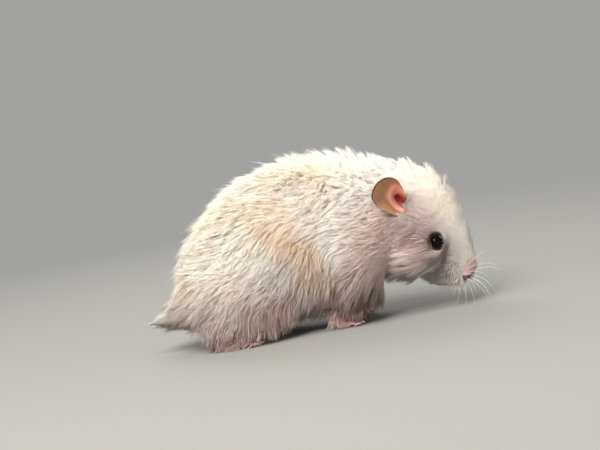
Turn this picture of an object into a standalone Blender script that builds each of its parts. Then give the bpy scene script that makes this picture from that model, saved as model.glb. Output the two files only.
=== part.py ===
"""A long-haired Syrian hamster at life size, as a still model.

It stands on all four feet with its back arched and its nose lowered. The solids show the coat's
outer form, parted by thin cuts where the body's parts meet. +X runs from tail to nose, +Y to the
animal's left and +Z up. The named sizes are in millimetres, and the meshes are in metres.
"""

import math
from collections import namedtuple

import bmesh
import bpy
import numpy as np
from mathutils import Matrix, Vector

MM = 0.001
CUT = 0.3  # gap between neighbouring parts
RIGHT, LEFT = -1, 1  # sign of Y on each side of the body
SIDES = {"right": RIGHT, "left": LEFT}

# ---------------------------------------------------------------- the body's outer form

Station = namedtuple("Station", "top bottom half_width taper")

# Cross-sections from tail to nose. top and bottom are (x, z) on the mid-plane, and taper is how
# much narrower the section is above its middle than below it.
STATIONS = {
    "tail_hair_tip": Station((-69.0, 14.7), (-68.2, 12.9), 1.4, 0.0),
    "tail": Station((-62.0, 20.5), (-62.0, 10.1), 5.5, 0.0),
    "tail_root": Station((-57.0, 27.0), (-53.0, 7.3), 15.0, 0.0),
    "rump": Station((-52.6, 38.4), (-42.0, 3.6), 24.5, 0.05),
    "hips": Station((-44.0, 52.2), (-29.0, 3.2), 29.0, 0.12),
    "loin": Station((-28.5, 64.8), (-18.0, 3.6), 30.5, 0.18),
    "back": Station((-11.0, 72.0), (-7.0, 4.6), 29.5, 0.20),
    "ribs": Station((7.0, 73.7), (5.0, 5.4), 27.0, 0.20),
    "shoulders": Station((23.0, 71.6), (18.0, 4.2), 26.0, 0.20),
    "nape": Station((36.0, 67.8), (28.0, 5.8), 22.5, 0.20),
    "crown": Station((48.5, 63.4), (31.5, 14.8), 19.0, 0.16),
    "forehead": Station((59.8, 57.4), (39.0, 13.8), 16.8, 0.22),
    "brow": Station((66.2, 46.2), (45.5, 11.4), 13.4, 0.24),
    "eyes": Station((68.0, 35.2), (51.5, 8.8), 10.8, 0.20),
    "bridge": Station((68.8, 26.2), (57.0, 7.4), 8.7, 0.16),
    "muzzle": Station((69.5, 19.2), (62.4, 7.9), 6.6, 0.10),
    "nose_tip": Station((69.2, 15.2), (66.2, 9.8), 3.6, 0.0),
}
RING_SIDES = 40
RINGS = 84

Mass = namedtuple("Mass", "centre radii pitch")

# Rounded masses that swell each side of the body: (x, distance from the mid-plane, z).
SIDE_MASSES = {
    "haunch": Mass((-24.5, 16.5, 24.0), (25.0, 15.3, 22.0), 16.0),
    "heel": Mass((-31.5, 18.5, 10.5), (17.5, 9.5, 9.0), 0.0),
    "shoulder": Mass((18.0, 14.5, 28.0), (15.0, 13.5, 20.0), -8.0),
    "forearm": Mass((14.0, 14.0, 15.0), (9.6, 7.4, 14.5), -8.0),
    "cheek": Mass((43.5, 10.6, 24.0), (12.5, 9.0, 10.5), -28.0),
    "whisker_pad": Mass((61.4, 5.4, 12.4), (5.4, 4.6, 4.9), -50.0),
}

FORM_VOXEL = 1.0
FORM_SMOOTHING = 10
FORM_TRIANGLES = 2350

# ---------------------------------------------------------------- the cuts that part the body

Plane = namedtuple("Plane", "point normal")  # (x, z) on the mid-plane, and the side it faces

TAIL_CUT = Plane((-56.5, 17.5), (1.0, 0.62))
NECK_CUT = Plane((23.5, 42.0), (1.0, -0.10))
HEAD_CUT = Plane((33.5, 38.0), (1.0, -0.06))
MOUTH_CUT = Plane((60.0, 10.6), (-0.18, -1.0))
JAW_BACK_CUT = Plane((49.0, 11.0), (1.0, -0.5))
NOSE_CUTTER = Mass((69.0, 0.0, 14.0), (3.4, 2.9, 2.5), 50.0)

ANKLE_HEIGHT = 4.0
WRIST_HEIGHT = 4.0
LIMBS = {
    "hind_leg": (Mass((-28.0, 29.0, 14.0), (27.0, 20.0, 32.0), 10.0), ANKLE_HEIGHT),
    "foreleg": (Mass((15.5, 25.0, 12.0), (12.5, 19.0, 31.0), 6.0), WRIST_HEIGHT),
}

# ---------------------------------------------------------------- eyes, ears and feet

EYE_RADIUS = 3.6
EYE_CENTRE = (52.0, 13.8, 28.4)

EAR_BASE = (37.4, 19.4, 41.2)
EAR_HEIGHT = 19.5
EAR_WIDTH = 14.8
EAR_THICKNESS = 0.9
EAR_CUP = 3.4  # depth of the hollow
EAR_SPREAD = 30.0  # degrees that the ear leans out to the side
EAR_LEAN_BACK = 9.0
EAR_TURN = 22.0  # degrees that its opening turns to the front

Foot = namedtuple("Foot", "roots palm toes fan toe_length toe_radius top")

# roots are the wrists or heels as (x, distance from the mid-plane), palm is the palm's
# (half length, half width, half height), and fan is the outer toes' angle in degrees.
FEET = {
    "forepaw": Foot(
        {"right": (8.5, 13.5), "left": (15.0, 13.0)}, (3.7, 3.0, 1.9), 4, 24, 4.2, 0.85, WRIST_HEIGHT
    ),
    "hindfoot": Foot(
        {"right": (-40.5, 20.0), "left": (-39.0, 20.0)}, (8.0, 3.3, 1.95), 5, 20, 5.2, 0.9, ANKLE_HEIGHT
    ),
}
FOOT_VOXEL = 0.32
FOOT_SMOOTHING = 3
FOOT_TRIANGLES = 500

SWAY_START = 0.0  # the head bends to the right ahead of here, and the tail behind it
SWAY_HEAD = 4.5
SWAY_TAIL = 1.5
HALF_LENGTH = 69.0

MATERIALS = {
    "coat": ((0.86, 0.78, 0.68), 0.85),
    "ear_skin": ((0.42, 0.27, 0.17), 0.55),
    "paw_skin": ((0.66, 0.42, 0.38), 0.6),
    "nose_skin": ((0.70, 0.42, 0.40), 0.45),
    "eye": ((0.01, 0.008, 0.008), 0.08),
}


def clear_scene():
    for obj in list(bpy.data.objects):
        bpy.data.objects.remove(obj, do_unlink=True)


def material(slot):
    """The Principled material of this slot, made once."""
    found = bpy.data.materials.get(slot)
    if found:
        return found
    colour, roughness = MATERIALS[slot]
    made = bpy.data.materials.new(slot)
    made.use_nodes = True
    shader = made.node_tree.nodes["Principled BSDF"]
    shader.inputs["Base Color"].default_value = (*colour, 1.0)
    shader.inputs["Roughness"].default_value = roughness
    shader.inputs["Metallic"].default_value = 0.0
    return made


def add_object(name, mesh, slot=None):
    obj = bpy.data.objects.new(name, mesh)
    bpy.context.scene.collection.objects.link(obj)
    if slot:
        mesh.materials.clear()
        mesh.materials.append(material(slot))
    return obj


def mesh_from(name, points_mm, faces):
    mesh = bpy.data.meshes.new(name)
    mesh.from_pydata([tuple(p * MM) for p in np.asarray(points_mm, float)], [], faces)
    mesh.validate()
    return mesh


def evaluated_copy(obj, name):
    """A new object whose mesh has obj's modifiers applied. obj itself is removed."""
    graph = bpy.context.evaluated_depsgraph_get()
    mesh = bpy.data.meshes.new_from_object(obj.evaluated_get(graph))
    bpy.data.objects.remove(obj, do_unlink=True)
    mesh.name = name
    return add_object(name, mesh)


def smooth_through(rows, count):
    """count rows on a Catmull-Rom curve through the given rows of numbers."""
    rows = np.asarray(rows, float)
    padded = np.vstack([2 * rows[0] - rows[1], rows, 2 * rows[-1] - rows[-2]])
    at = np.linspace(0, len(rows) - 1, count)
    start = np.minimum(at.astype(int), len(rows) - 2)
    t = (at - start)[:, None]
    p0, p1, p2, p3 = (padded[start + k] for k in range(4))
    curve = 2 * p1 + (p2 - p0) * t + (2 * p0 - 5 * p1 + 4 * p2 - p3) * t**2
    return 0.5 * (curve + (3 * p1 - p0 - 3 * p2 + p3) * t**3)


def body_loft():
    """The trunk, neck and head as one closed tube through the stations."""
    rows = [(*s.top, *s.bottom, s.half_width, s.taper) for s in STATIONS.values()]
    points = []
    for top_x, top_z, bottom_x, bottom_z, half_width, taper in smooth_through(rows, RINGS):
        middle = np.array([(top_x + bottom_x) / 2, 0, (top_z + bottom_z) / 2])
        up = np.array([(top_x - bottom_x) / 2, 0, (top_z - bottom_z) / 2])
        for k in range(RING_SIDES):
            turn = 2 * math.pi * k / RING_SIDES
            across = half_width * math.sin(turn) * (1 - taper * math.cos(turn))
            points.append(middle + up * math.cos(turn) + np.array([0, across, 0]))
    last_ring = range(RING_SIDES * (RINGS - 1), RING_SIDES * RINGS)
    faces = [tuple(range(RING_SIDES)), tuple(reversed(last_ring))]
    for ring in range(RINGS - 1):
        for k in range(RING_SIDES):
            here, beside = ring * RING_SIDES + k, ring * RING_SIDES + (k + 1) % RING_SIDES
            faces.append((here, here + RING_SIDES, beside + RING_SIDES, beside))
    return mesh_from("body_loft", points, faces)


def face_outwards(mesh):
    bm = bmesh.new()
    bm.from_mesh(mesh)
    bmesh.ops.recalc_face_normals(bm, faces=bm.faces)
    if bm.calc_volume(signed=True) < 0:
        bmesh.ops.reverse_faces(bm, faces=bm.faces)
    bm.to_mesh(mesh)
    bm.free()


def mass_matrix(mass, side, grow=0.0):
    """Places a unit sphere as this mass on one side of the body, grown all round by grow mm."""
    x, y, z = mass.centre
    radii = [(r + grow) * MM for r in mass.radii]
    place = Matrix.Translation(Vector((x, y * side, z)) * MM)
    turn = Matrix.Rotation(math.radians(mass.pitch), 4, "Y")
    return place @ turn @ Matrix.Diagonal((*radii, 1.0))


def ellipsoid(name, matrix, segments=24, rings=14):
    bm = bmesh.new()
    bmesh.ops.create_uvsphere(bm, u_segments=segments, v_segments=rings, radius=1.0, matrix=matrix)
    mesh = bpy.data.meshes.new(name)
    bm.to_mesh(mesh)
    bm.free()
    return mesh


def joined(name, meshes):
    """One object that holds all these meshes."""
    bm = bmesh.new()
    for mesh in meshes:
        bm.from_mesh(mesh)
        bpy.data.meshes.remove(mesh)
    mesh = bpy.data.meshes.new(name)
    bm.to_mesh(mesh)
    bm.free()
    return add_object(name, mesh)


def fused(obj, voxel, smoothing, triangles):
    """The joined shapes of obj as one smooth skin of about this many triangles."""
    name = obj.name
    remesh = obj.modifiers.new("Fuse", "REMESH")
    remesh.mode = "VOXEL"
    remesh.voxel_size = voxel * MM
    smooth = obj.modifiers.new("Soften", "SMOOTH")
    smooth.factor = 0.5
    smooth.iterations = smoothing
    obj = evaluated_copy(obj, name)
    now = sum(len(face.vertices) - 2 for face in obj.data.polygons)
    thin = obj.modifiers.new("Thin", "DECIMATE")
    thin.ratio = min(1.0, triangles / now)
    return evaluated_copy(obj, name)


def whole_form():
    """The coat's outer form without ears and feet, in one piece."""
    loft = body_loft()
    face_outwards(loft)
    meshes = [loft]
    for name, mass in SIDE_MASSES.items():
        for side in SIDES.values():
            meshes.append(ellipsoid(name, mass_matrix(mass, side)))
    return fused(joined("whole", meshes), FORM_VOXEL, FORM_SMOOTHING, FORM_TRIANGLES)


# ---------------------------------------------------------------- cutting


def cut_by_plane(obj, plane, ahead, gap=CUT / 2):
    """Keeps what lies ahead of the plane, or behind it, less half a cut."""
    normal = Vector((plane.normal[0], 0, plane.normal[1])).normalized()
    side = 1 if ahead else -1
    point = Vector((plane.point[0], 0, plane.point[1])) + normal * gap * side
    slice_mesh(obj.data, point * MM, normal * side)


def slice_mesh(mesh, point, normal):
    """Keeps the part of the mesh that normal points to, and closes it with a flat face."""
    bm = bmesh.new()
    bm.from_mesh(mesh)
    everything = list(bm.verts) + list(bm.edges) + list(bm.faces)
    cut = bmesh.ops.bisect_plane(
        bm, geom=everything, dist=1e-7, plane_co=point, plane_no=normal, clear_inner=True
    )
    rim = [part for part in cut["geom_cut"] if isinstance(part, bmesh.types.BMEdge)]
    closed = bmesh.ops.holes_fill(bm, edges=rim, sides=0)
    bmesh.ops.triangulate(bm, faces=closed["faces"])
    bmesh.ops.recalc_face_normals(bm, faces=bm.faces)
    bm.to_mesh(mesh)
    bm.free()


def duplicate(obj, name):
    return add_object(name, obj.data.copy())


def boolean(obj, cutter, operation):
    """Applies one Boolean. The cutter stays as it is."""
    name = obj.name
    step = obj.modifiers.new(operation, "BOOLEAN")
    step.operation = operation
    step.object = cutter
    step.solver = "EXACT"
    return evaluated_copy(obj, name)


def discard(*objects):
    for obj in objects:
        bpy.data.objects.remove(obj, do_unlink=True)


def take_out(nodes, source, name, mass, side=RIGHT):
    """Makes what lies inside this mass a node of its own, less the cut round it."""
    inner = add_object("inner", ellipsoid("inner", mass_matrix(mass, side), 20, 12))
    outer = add_object("outer", ellipsoid("outer", mass_matrix(mass, side, CUT), 20, 12))
    nodes[name] = boolean(duplicate(nodes[source], name), inner, "INTERSECT")
    nodes[source] = boolean(nodes[source], outer, "DIFFERENCE")
    discard(inner, outer)


def part_limbs(whole):
    """Takes the four legs out of the whole form. Returns (the rest, {name: leg})."""
    nodes = {"whole": whole}
    for limb, (cutter, height) in LIMBS.items():
        for side_name, side in SIDES.items():
            name = f"{limb}_{side_name}"
            take_out(nodes, "whole", name, cutter, side)
            cut_by_plane(nodes[name], Plane((0, height), (0, 1)), ahead=True)
    return nodes.pop("whole"), nodes


def part_length(core):
    """Divides the trunk, neck and head along the spine, and returns them by name."""
    nodes = {}
    between = {
        "tail": ((TAIL_CUT, False),),
        "trunk": ((TAIL_CUT, True), (NECK_CUT, False)),
        "neck": ((NECK_CUT, True), (HEAD_CUT, False)),
        "head": ((HEAD_CUT, True),),
    }
    for name, cuts in between.items():
        node = duplicate(core, name)
        for plane, ahead in cuts:
            cut_by_plane(node, plane, ahead)
        nodes[name] = node
    discard(core)
    return nodes


def part_face(nodes):
    """Takes the nose pad and the lower jaw off the head."""
    take_out(nodes, "head", "nose", NOSE_CUTTER)
    jaw = duplicate(nodes["head"], "lower_jaw")
    cut_by_plane(jaw, MOUTH_CUT, ahead=True)
    cut_by_plane(jaw, JAW_BACK_CUT, ahead=True)
    nodes["lower_jaw"] = jaw
    room = wedge("room")
    nodes["head"] = boolean(nodes["head"], room, "DIFFERENCE")
    discard(room)


def wedge(name):
    """A block below the mouth and ahead of the jaw's back, which clears the head for the jaw."""
    far = 100.0
    mouth = Vector((MOUTH_CUT.normal[0], 0, MOUTH_CUT.normal[1])).normalized()
    back = Vector((JAW_BACK_CUT.normal[0], 0, JAW_BACK_CUT.normal[1])).normalized()
    bm = bmesh.new()
    bmesh.ops.create_cube(bm, size=2 * far * MM)
    mesh = bpy.data.meshes.new(name)
    bm.to_mesh(mesh)
    bm.free()
    for plane, normal in ((MOUTH_CUT, mouth), (JAW_BACK_CUT, back)):
        point = Vector((plane.point[0], 0, plane.point[1])) - normal * CUT / 2
        mesh.transform(Matrix.Identity(4))
        slice_mesh(mesh, point * MM, normal)
    return add_object(name, mesh)


# ---------------------------------------------------------------- eyes and ears


def make_eyes(nodes):
    """Eyeballs in sockets that clear them by the cut."""
    for side_name, side in SIDES.items():
        mass = Mass(EYE_CENTRE, (EYE_RADIUS,) * 3, 0.0)
        socket = add_object("socket", ellipsoid("socket", mass_matrix(mass, side, CUT), 16, 10))
        nodes["head"] = boolean(nodes["head"], socket, "DIFFERENCE")
        discard(socket)
        name = f"eye_{side_name}"
        nodes[name] = add_object(name, ellipsoid(name, mass_matrix(mass, side), 16, 9))


def ear_outline(turn):
    """Half width and height of the pinna's rim at this angle round it: an egg, narrow below."""
    half_width, half_height = EAR_WIDTH / 2, EAR_HEIGHT / 2
    lower = max(0.0, -math.sin(turn))
    return half_width * (1 - 0.34 * lower**1.5) * math.cos(turn), half_height * math.sin(turn)


def ear_mesh(rings=5, spokes=20):
    """A cupped pinna, standing on its base at the origin with its opening towards -Y."""
    sheets = []
    for offset in (-EAR_THICKNESS / 2, EAR_THICKNESS / 2):
        sheet = []
        for ring in range(1, rings + 1):
            reach = ring / rings
            thin = 0.35 if ring == rings else 1.0
            for k in range(spokes):
                across, up = ear_outline(2 * math.pi * k / spokes)
                hollow = EAR_CUP * (1 - reach**2)
                sheet.append((across * reach, hollow + offset * thin, EAR_HEIGHT / 2 + up * reach))
        sheets.append(sheet)
    points = sheets[0] + sheets[1]
    points += [(0, EAR_CUP + s * EAR_THICKNESS / 2, EAR_HEIGHT / 2) for s in (-1, 1)]
    count = rings * spokes
    faces = []
    for k in range(spokes):
        beside = (k + 1) % spokes
        faces.append((2 * count, k, beside))
        faces.append((2 * count + 1, count + beside, count + k))
        for ring in range(rings - 1):
            a, b = ring * spokes + k, ring * spokes + beside
            faces.append((a, a + spokes, b + spokes, b))
            faces.append((count + a, count + b, count + b + spokes, count + a + spokes))
        rim = (rings - 1) * spokes
        faces.append((rim + k, count + rim + k, count + rim + beside, rim + beside))
    mesh = mesh_from("ear", points, faces)
    face_outwards(mesh)
    return mesh


def make_ears(nodes):
    """Ears that stand out of the coat. The root ends just clear of the head and neck."""
    for side_name, side in SIDES.items():
        name = f"ear_{side_name}"
        mesh = ear_mesh()
        if side == LEFT:
            mesh.transform(Matrix.Scale(-1, 4, Vector((0, 1, 0))))
        turn = (
            Matrix.Rotation(math.radians(-EAR_LEAN_BACK), 4, "Y")
            @ Matrix.Rotation(math.radians(-EAR_SPREAD * side), 4, "X")
            @ Matrix.Rotation(math.radians(-EAR_TURN * side), 4, "Z")
        )
        x, y, z = EAR_BASE
        mesh.transform(Matrix.Translation(Vector((x, y * side, z)) * MM) @ turn)
        face_outwards(mesh)
        ear = add_object(name, mesh)
        for neighbour in ("head", "neck"):
            clear = grown_copy(nodes[neighbour], CUT)
            ear = boolean(ear, clear, "DIFFERENCE")
            discard(clear)
        keep_largest(ear.data)
        nodes[name] = ear


def grown_copy(obj, distance):
    """A copy whose points are pushed out along their normals."""
    copy = duplicate(obj, "grown")
    mesh = copy.data
    normals = [v.normal.copy() for v in mesh.vertices]
    for vertex, normal in zip(mesh.vertices, normals):
        vertex.co += normal * distance * MM
    return copy


def keep_largest(mesh):
    """Drops every separate scrap but the largest."""
    bm = bmesh.new()
    bm.from_mesh(mesh)
    left, groups = set(bm.verts), []
    while left:
        group, todo = set(), [left.pop()]
        while todo:
            vertex = todo.pop()
            group.add(vertex)
            for edge in vertex.link_edges:
                other = edge.other_vert(vertex)
                if other in left:
                    left.discard(other)
                    todo.append(other)
        groups.append(group)
    groups.sort(key=len, reverse=True)
    for scrap in groups[1:]:
        bmesh.ops.delete(bm, geom=list(scrap), context="VERTS")
    bm.to_mesh(mesh)
    bm.free()


# ---------------------------------------------------------------- feet


def rod_meshes(points, radii):
    """Balls at the points and cones between them, which fuse into one tapering rod."""
    meshes = []
    for point, radius in zip(points, radii):
        place = Matrix.Translation(Vector(point) * MM) @ Matrix.Scale(radius * MM, 4)
        meshes.append(ellipsoid("ball", place, 14, 9))
    for (a, ra), (b, rb) in zip(zip(points, radii), zip(points[1:], radii[1:])):
        a, b = Vector(a) * MM, Vector(b) * MM
        along = b - a
        place = Matrix.Translation((a + b) / 2) @ along.to_track_quat("Z", "Y").to_matrix().to_4x4()
        bm = bmesh.new()
        bmesh.ops.create_cone(
            bm, cap_ends=True, segments=14, radius1=ra * MM, radius2=rb * MM,
            depth=along.length, matrix=place,
        )
        mesh = bpy.data.meshes.new("cone")
        bm.to_mesh(mesh)
        bm.free()
        meshes.append(mesh)
    return meshes


def toe_meshes(root, heading, length, radius):
    """One toe with its claw: it arches up from its root and comes down to its pad."""
    ahead = Vector((math.cos(heading), math.sin(heading), 0))
    root = Vector(root)
    knuckle = root + ahead * length * 0.45 + Vector((0, 0, radius * 0.5))
    pad = root + ahead * length
    pad.z = radius * 0.8
    claw_root = pad + ahead * radius * 0.5 + Vector((0, 0, radius * 0.35))
    claw_tip = pad + ahead * radius * 2.6 + Vector((0, 0, -radius * 0.25))
    return rod_meshes(
        [root, knuckle, pad], [radius * 1.1, radius * 0.9, radius]
    ) + rod_meshes([claw_root, claw_tip], [radius * 0.5, radius * 0.3])


def make_foot(name, shape, side_name):
    """A foot on the floor under its leg, with a flat sole."""
    half_length, half_width, half_height = shape.palm
    root_x, root_y = shape.roots[side_name]
    root_y *= SIDES[side_name]
    palm_centre = Vector((root_x + half_length * 0.8, root_y, half_height * 0.72))
    stretch = Matrix.Diagonal((*(r * MM for r in shape.palm), 1.0))
    meshes = [ellipsoid("palm", Matrix.Translation(palm_centre * MM) @ stretch)]
    meshes += rod_meshes(
        [(root_x, root_y, shape.top + 2.0), (root_x + half_length * 0.35, root_y, half_height)],
        [half_width * 0.95, half_width * 0.8],
    )
    for k in range(shape.toes):
        spread = 2 * k / (shape.toes - 1) - 1
        middle = 1 - 0.3 * abs(spread) ** 1.5
        toe_root = (
            palm_centre.x + half_length * 0.62 * middle,
            palm_centre.y + half_width * 0.78 * spread,
            shape.toe_radius * 1.15,
        )
        heading = math.radians(shape.fan) * spread
        meshes += toe_meshes(toe_root, heading, shape.toe_length * middle, shape.toe_radius)
    obj = fused(joined(name, meshes), FOOT_VOXEL, FOOT_SMOOTHING, FOOT_TRIANGLES)
    cut_by_plane(obj, Plane((0, shape.top), (0, 1)), ahead=False)
    for vertex in obj.data.vertices:
        vertex.co.z = max(vertex.co.z, 0.0)
    return obj


def make_feet(nodes):
    for kind, shape in FEET.items():
        for side_name in SIDES:
            name = f"{kind}_{side_name}"
            nodes[name] = make_foot(name, shape, side_name)


# ---------------------------------------------------------------- pose and finish


def sway(nodes):
    """Bends the spine a little to the right at both ends, seen from above."""
    for obj in nodes.values():
        for vertex in obj.data.vertices:
            x = vertex.co.x / MM
            reach = (x - SWAY_START) / HALF_LENGTH
            bend = SWAY_HEAD if reach > 0 else SWAY_TAIL
            vertex.co.y -= bend * MM * reach * reach


def centre_on_floor(nodes):
    """Puts the origin under the middle of the body, on the floor."""
    corners = np.array([v.co[:] for obj in nodes.values() for v in obj.data.vertices])
    low, high = corners.min(axis=0), corners.max(axis=0)
    shift = Vector((-(low[0] + high[0]) / 2, -(low[1] + high[1]) / 2, 0))
    for obj in nodes.values():
        obj.data.transform(Matrix.Translation(shift))


def finish(nodes):
    slots = {
        "ear": "ear_skin",
        "eye": "eye",
        "nose": "nose_skin",
        "forepaw": "paw_skin",
        "hindfoot": "paw_skin",
    }
    for name, obj in nodes.items():
        slot = slots.get(name.split("_")[0], "coat")
        obj.data.materials.clear()
        obj.data.materials.append(material(slot))
        obj.data.shade_smooth()


def main():
    clear_scene()
    core, nodes = part_limbs(whole_form())
    nodes.update(part_length(core))
    part_face(nodes)
    make_eyes(nodes)
    make_ears(nodes)
    make_feet(nodes)
    sway(nodes)
    centre_on_floor(nodes)
    finish(nodes)


main()
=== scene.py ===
"""The looks of a long-haired Syrian hamster, a still model at life size.

One skin replaces the solids of flesh and lies under them by the coat's depth. Eyes, claws and
whiskers are pieces of their own. The coat is solid mesh: thin tapered locks that grow from the
skin, follow the lie of the fur and end about where the solids do. +X is forward, +Y the animal's
left and +Z up. Sizes named here are in millimetres, and meshes are in metres.
"""

import math
from collections import namedtuple

import bmesh
import bpy
import numpy as np
from mathutils import Matrix, Vector
from mathutils.bvhtree import BVHTree
from mathutils.kdtree import KDTree


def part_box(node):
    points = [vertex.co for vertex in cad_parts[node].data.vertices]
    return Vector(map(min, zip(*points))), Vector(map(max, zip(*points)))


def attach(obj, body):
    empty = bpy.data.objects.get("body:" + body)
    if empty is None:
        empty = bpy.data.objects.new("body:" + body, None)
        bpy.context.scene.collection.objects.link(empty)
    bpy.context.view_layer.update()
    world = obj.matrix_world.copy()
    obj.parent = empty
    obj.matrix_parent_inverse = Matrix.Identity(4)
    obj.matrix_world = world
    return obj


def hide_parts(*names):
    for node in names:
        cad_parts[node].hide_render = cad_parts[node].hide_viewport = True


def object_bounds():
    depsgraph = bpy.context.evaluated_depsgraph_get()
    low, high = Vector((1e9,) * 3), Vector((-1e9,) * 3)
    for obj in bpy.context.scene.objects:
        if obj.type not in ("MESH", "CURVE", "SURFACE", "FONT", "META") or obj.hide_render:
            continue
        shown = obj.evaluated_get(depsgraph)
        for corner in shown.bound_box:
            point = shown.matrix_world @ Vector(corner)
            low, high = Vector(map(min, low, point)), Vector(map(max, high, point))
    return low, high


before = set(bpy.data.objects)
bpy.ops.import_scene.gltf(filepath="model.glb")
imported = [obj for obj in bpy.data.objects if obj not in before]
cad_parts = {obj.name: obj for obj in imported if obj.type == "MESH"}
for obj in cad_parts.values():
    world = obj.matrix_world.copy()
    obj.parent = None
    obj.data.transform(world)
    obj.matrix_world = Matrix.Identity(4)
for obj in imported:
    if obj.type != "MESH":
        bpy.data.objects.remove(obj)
CAD_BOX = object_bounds()

MM = 0.001
SIDES = {"right": -1, "left": 1}
BARE = ("ear", "eye", "forepaw", "hindfoot")  # the solids that carry no long coat
UP = np.array([0.0, 0.0, 1.0])

# ---------------------------------------------------------------- landmarks from the solids


def box_mm(node):
    """Lowest and highest corner of a solid, in mm."""
    low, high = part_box(node)
    return np.array(low) / MM, np.array(high) / MM


def centre_mm(node):
    low, high = box_mm(node)
    return (low + high) / 2


NOSE = centre_mm("nose")
TAIL_TIP_X = box_mm("tail")[0][0]
MIDDLE_Y = centre_mm("trunk")[1]
TAIL_SWAY = 1.5  # how far the tail's tip bends to the right
EYES = {name: centre_mm(f"eye_{name}") for name in SIDES}


def spine_y(x):
    """Where the mid-plane lies, since the spine bends to the right at both ends."""
    x = np.asarray(x, float)
    head = (NOSE[1] - MIDDLE_Y) * (np.maximum(x, 0) / NOSE[0]) ** 2
    tail = -TAIL_SWAY * (np.minimum(x, 0) / TAIL_TIP_X) ** 2
    return MIDDLE_Y + head + tail


def straight(points):
    """Points with the bend taken out and both sides folded together: y is the distance outwards."""
    made = np.array(points, float)
    made[:, 1] = np.abs(made[:, 1] - spine_y(made[:, 0]))
    return made


def placed(point, side=1):
    """A point given as (x, distance from the mid-plane, z), put on one side of the bent body."""
    x, y, z = point
    return np.array([x, y * side + float(spine_y(x)), z])


# ---------------------------------------------------------------- small maths


def length_of(vectors):
    return np.linalg.norm(vectors, axis=-1)


def unit(vectors):
    return vectors / np.maximum(np.linalg.norm(vectors, axis=-1, keepdims=True), 1e-9)


def rise(value, low, high):
    """0 below low, 1 above high, and a smooth step between."""
    t = np.clip((np.asarray(value, float) - low) / (high - low), 0, 1)
    return t * t * (3 - 2 * t)


def near(points, centre, inner, outer):
    """1 within inner mm of the centre, falling to 0 at outer mm."""
    distance = length_of(points - np.asarray(centre, float))
    return 1 - rise(distance, inner, outer)


def line_distance(points, line):
    """How far each point lies from a line of two or more points, in a plane or in space."""
    best = np.full(len(points), 1e9)
    line = np.asarray(line, float)
    for a, b in zip(line, line[1:]):
        along = b - a
        t = np.clip(((points - a) @ along) / (along @ along), 0, 1)
        best = np.minimum(best, length_of(points - (a + t[:, None] * along)))
    return best


def near_line(points, line, inner, outer):
    """1 within inner mm of the line, falling to 0 at outer mm."""
    return 1 - rise(line_distance(points, line), inner, outer)


def hump(distance, width):
    """A smooth hump of height 1 over distance 0."""
    return np.exp(-((distance / width) ** 2))


def waves(points, size, seed):
    """Smooth noise from -1 to 1 with features about size mm wide: a sum of tilted waves."""
    rng = np.random.default_rng(seed)
    total = np.zeros(len(points))
    for _ in range(9):
        way = unit(rng.normal(size=3))
        turns = 2 * math.pi / (size * rng.uniform(0.7, 1.6))
        total += np.sin(points @ way * turns + rng.uniform(0, 2 * math.pi))
    return np.clip(total / 3.2, -1, 1)


def mix(a, b, share):
    """a where share is 0 and b where it is 1. share is one number for each row."""
    share = np.asarray(share, float)[:, None]
    return a * (1 - share) + b * share


# ---------------------------------------------------------------- meshes


def add_object(name, mesh):
    obj = bpy.data.objects.new(name, mesh)
    bpy.context.scene.collection.objects.link(obj)
    return obj


def mesh_of(name, points_mm, faces):
    mesh = bpy.data.meshes.new(name)
    mesh.from_pydata((np.asarray(points_mm, float) * MM).tolist(), [], faces)
    mesh.validate()
    return mesh


def read(rows, field, width, kind=np.float32):
    """One field of all the rows of a mesh, as an array with width columns."""
    found = np.empty(len(rows) * width, kind)
    rows.foreach_get(field, found)
    return found.reshape(-1, width)


def points_of(mesh):
    return read(mesh.vertices, "co", 3).astype(float) / MM


def set_points(mesh, points_mm):
    mesh.vertices.foreach_set("co", (points_mm * MM).astype(np.float32).ravel())
    mesh.update()


def normals_of(mesh):
    return read(mesh.vertex_normals, "vector", 3).astype(float)


def edges_of(mesh):
    return read(mesh.edges, "vertices", 2, np.int32)


def bmesh_of(*meshes):
    bm = bmesh.new()
    for mesh in meshes:
        bm.from_mesh(mesh)
    return bm


def mesh_from(bm, name):
    """Writes a bmesh to a new mesh and frees it."""
    mesh = bpy.data.meshes.new(name)
    bm.to_mesh(mesh)
    bm.free()
    return mesh


def with_modifiers(obj):
    """Replaces the object's mesh by what its modifiers make of it."""
    graph = bpy.context.evaluated_depsgraph_get()
    mesh = bpy.data.meshes.new_from_object(obj.evaluated_get(graph))
    old = obj.data
    obj.modifiers.clear()
    obj.data = mesh
    bpy.data.meshes.remove(old)
    return obj


def remeshed(obj, voxel_mm, smoothing):
    fuse = obj.modifiers.new("Fuse", "REMESH")
    fuse.mode = "VOXEL"
    fuse.voxel_size = voxel_mm * MM
    soften = obj.modifiers.new("Soften", "SMOOTH")
    soften.factor = 0.5
    soften.iterations = smoothing
    return with_modifiers(obj)


def face_outwards(mesh):
    bm = bmesh_of(mesh)
    bmesh.ops.recalc_face_normals(bm, faces=bm.faces)
    if bm.calc_volume(signed=True) < 0:
        bmesh.ops.reverse_faces(bm, faces=bm.faces)
    bm.to_mesh(mesh)
    bm.free()


def ball(centre, radii, turn=None, segments=24, rings=14):
    """An ellipsoid about the centre, turned by a 4x4 rotation."""
    bm = bmesh.new()
    place = Matrix.Translation(Vector(centre) * MM) @ (turn or Matrix())
    size = Matrix.Diagonal((*(float(r) * MM for r in np.broadcast_to(radii, 3)), 1.0))
    bmesh.ops.create_uvsphere(bm, u_segments=segments, v_segments=rings, radius=1, matrix=place @ size)
    return mesh_from(bm, "ball")


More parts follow.
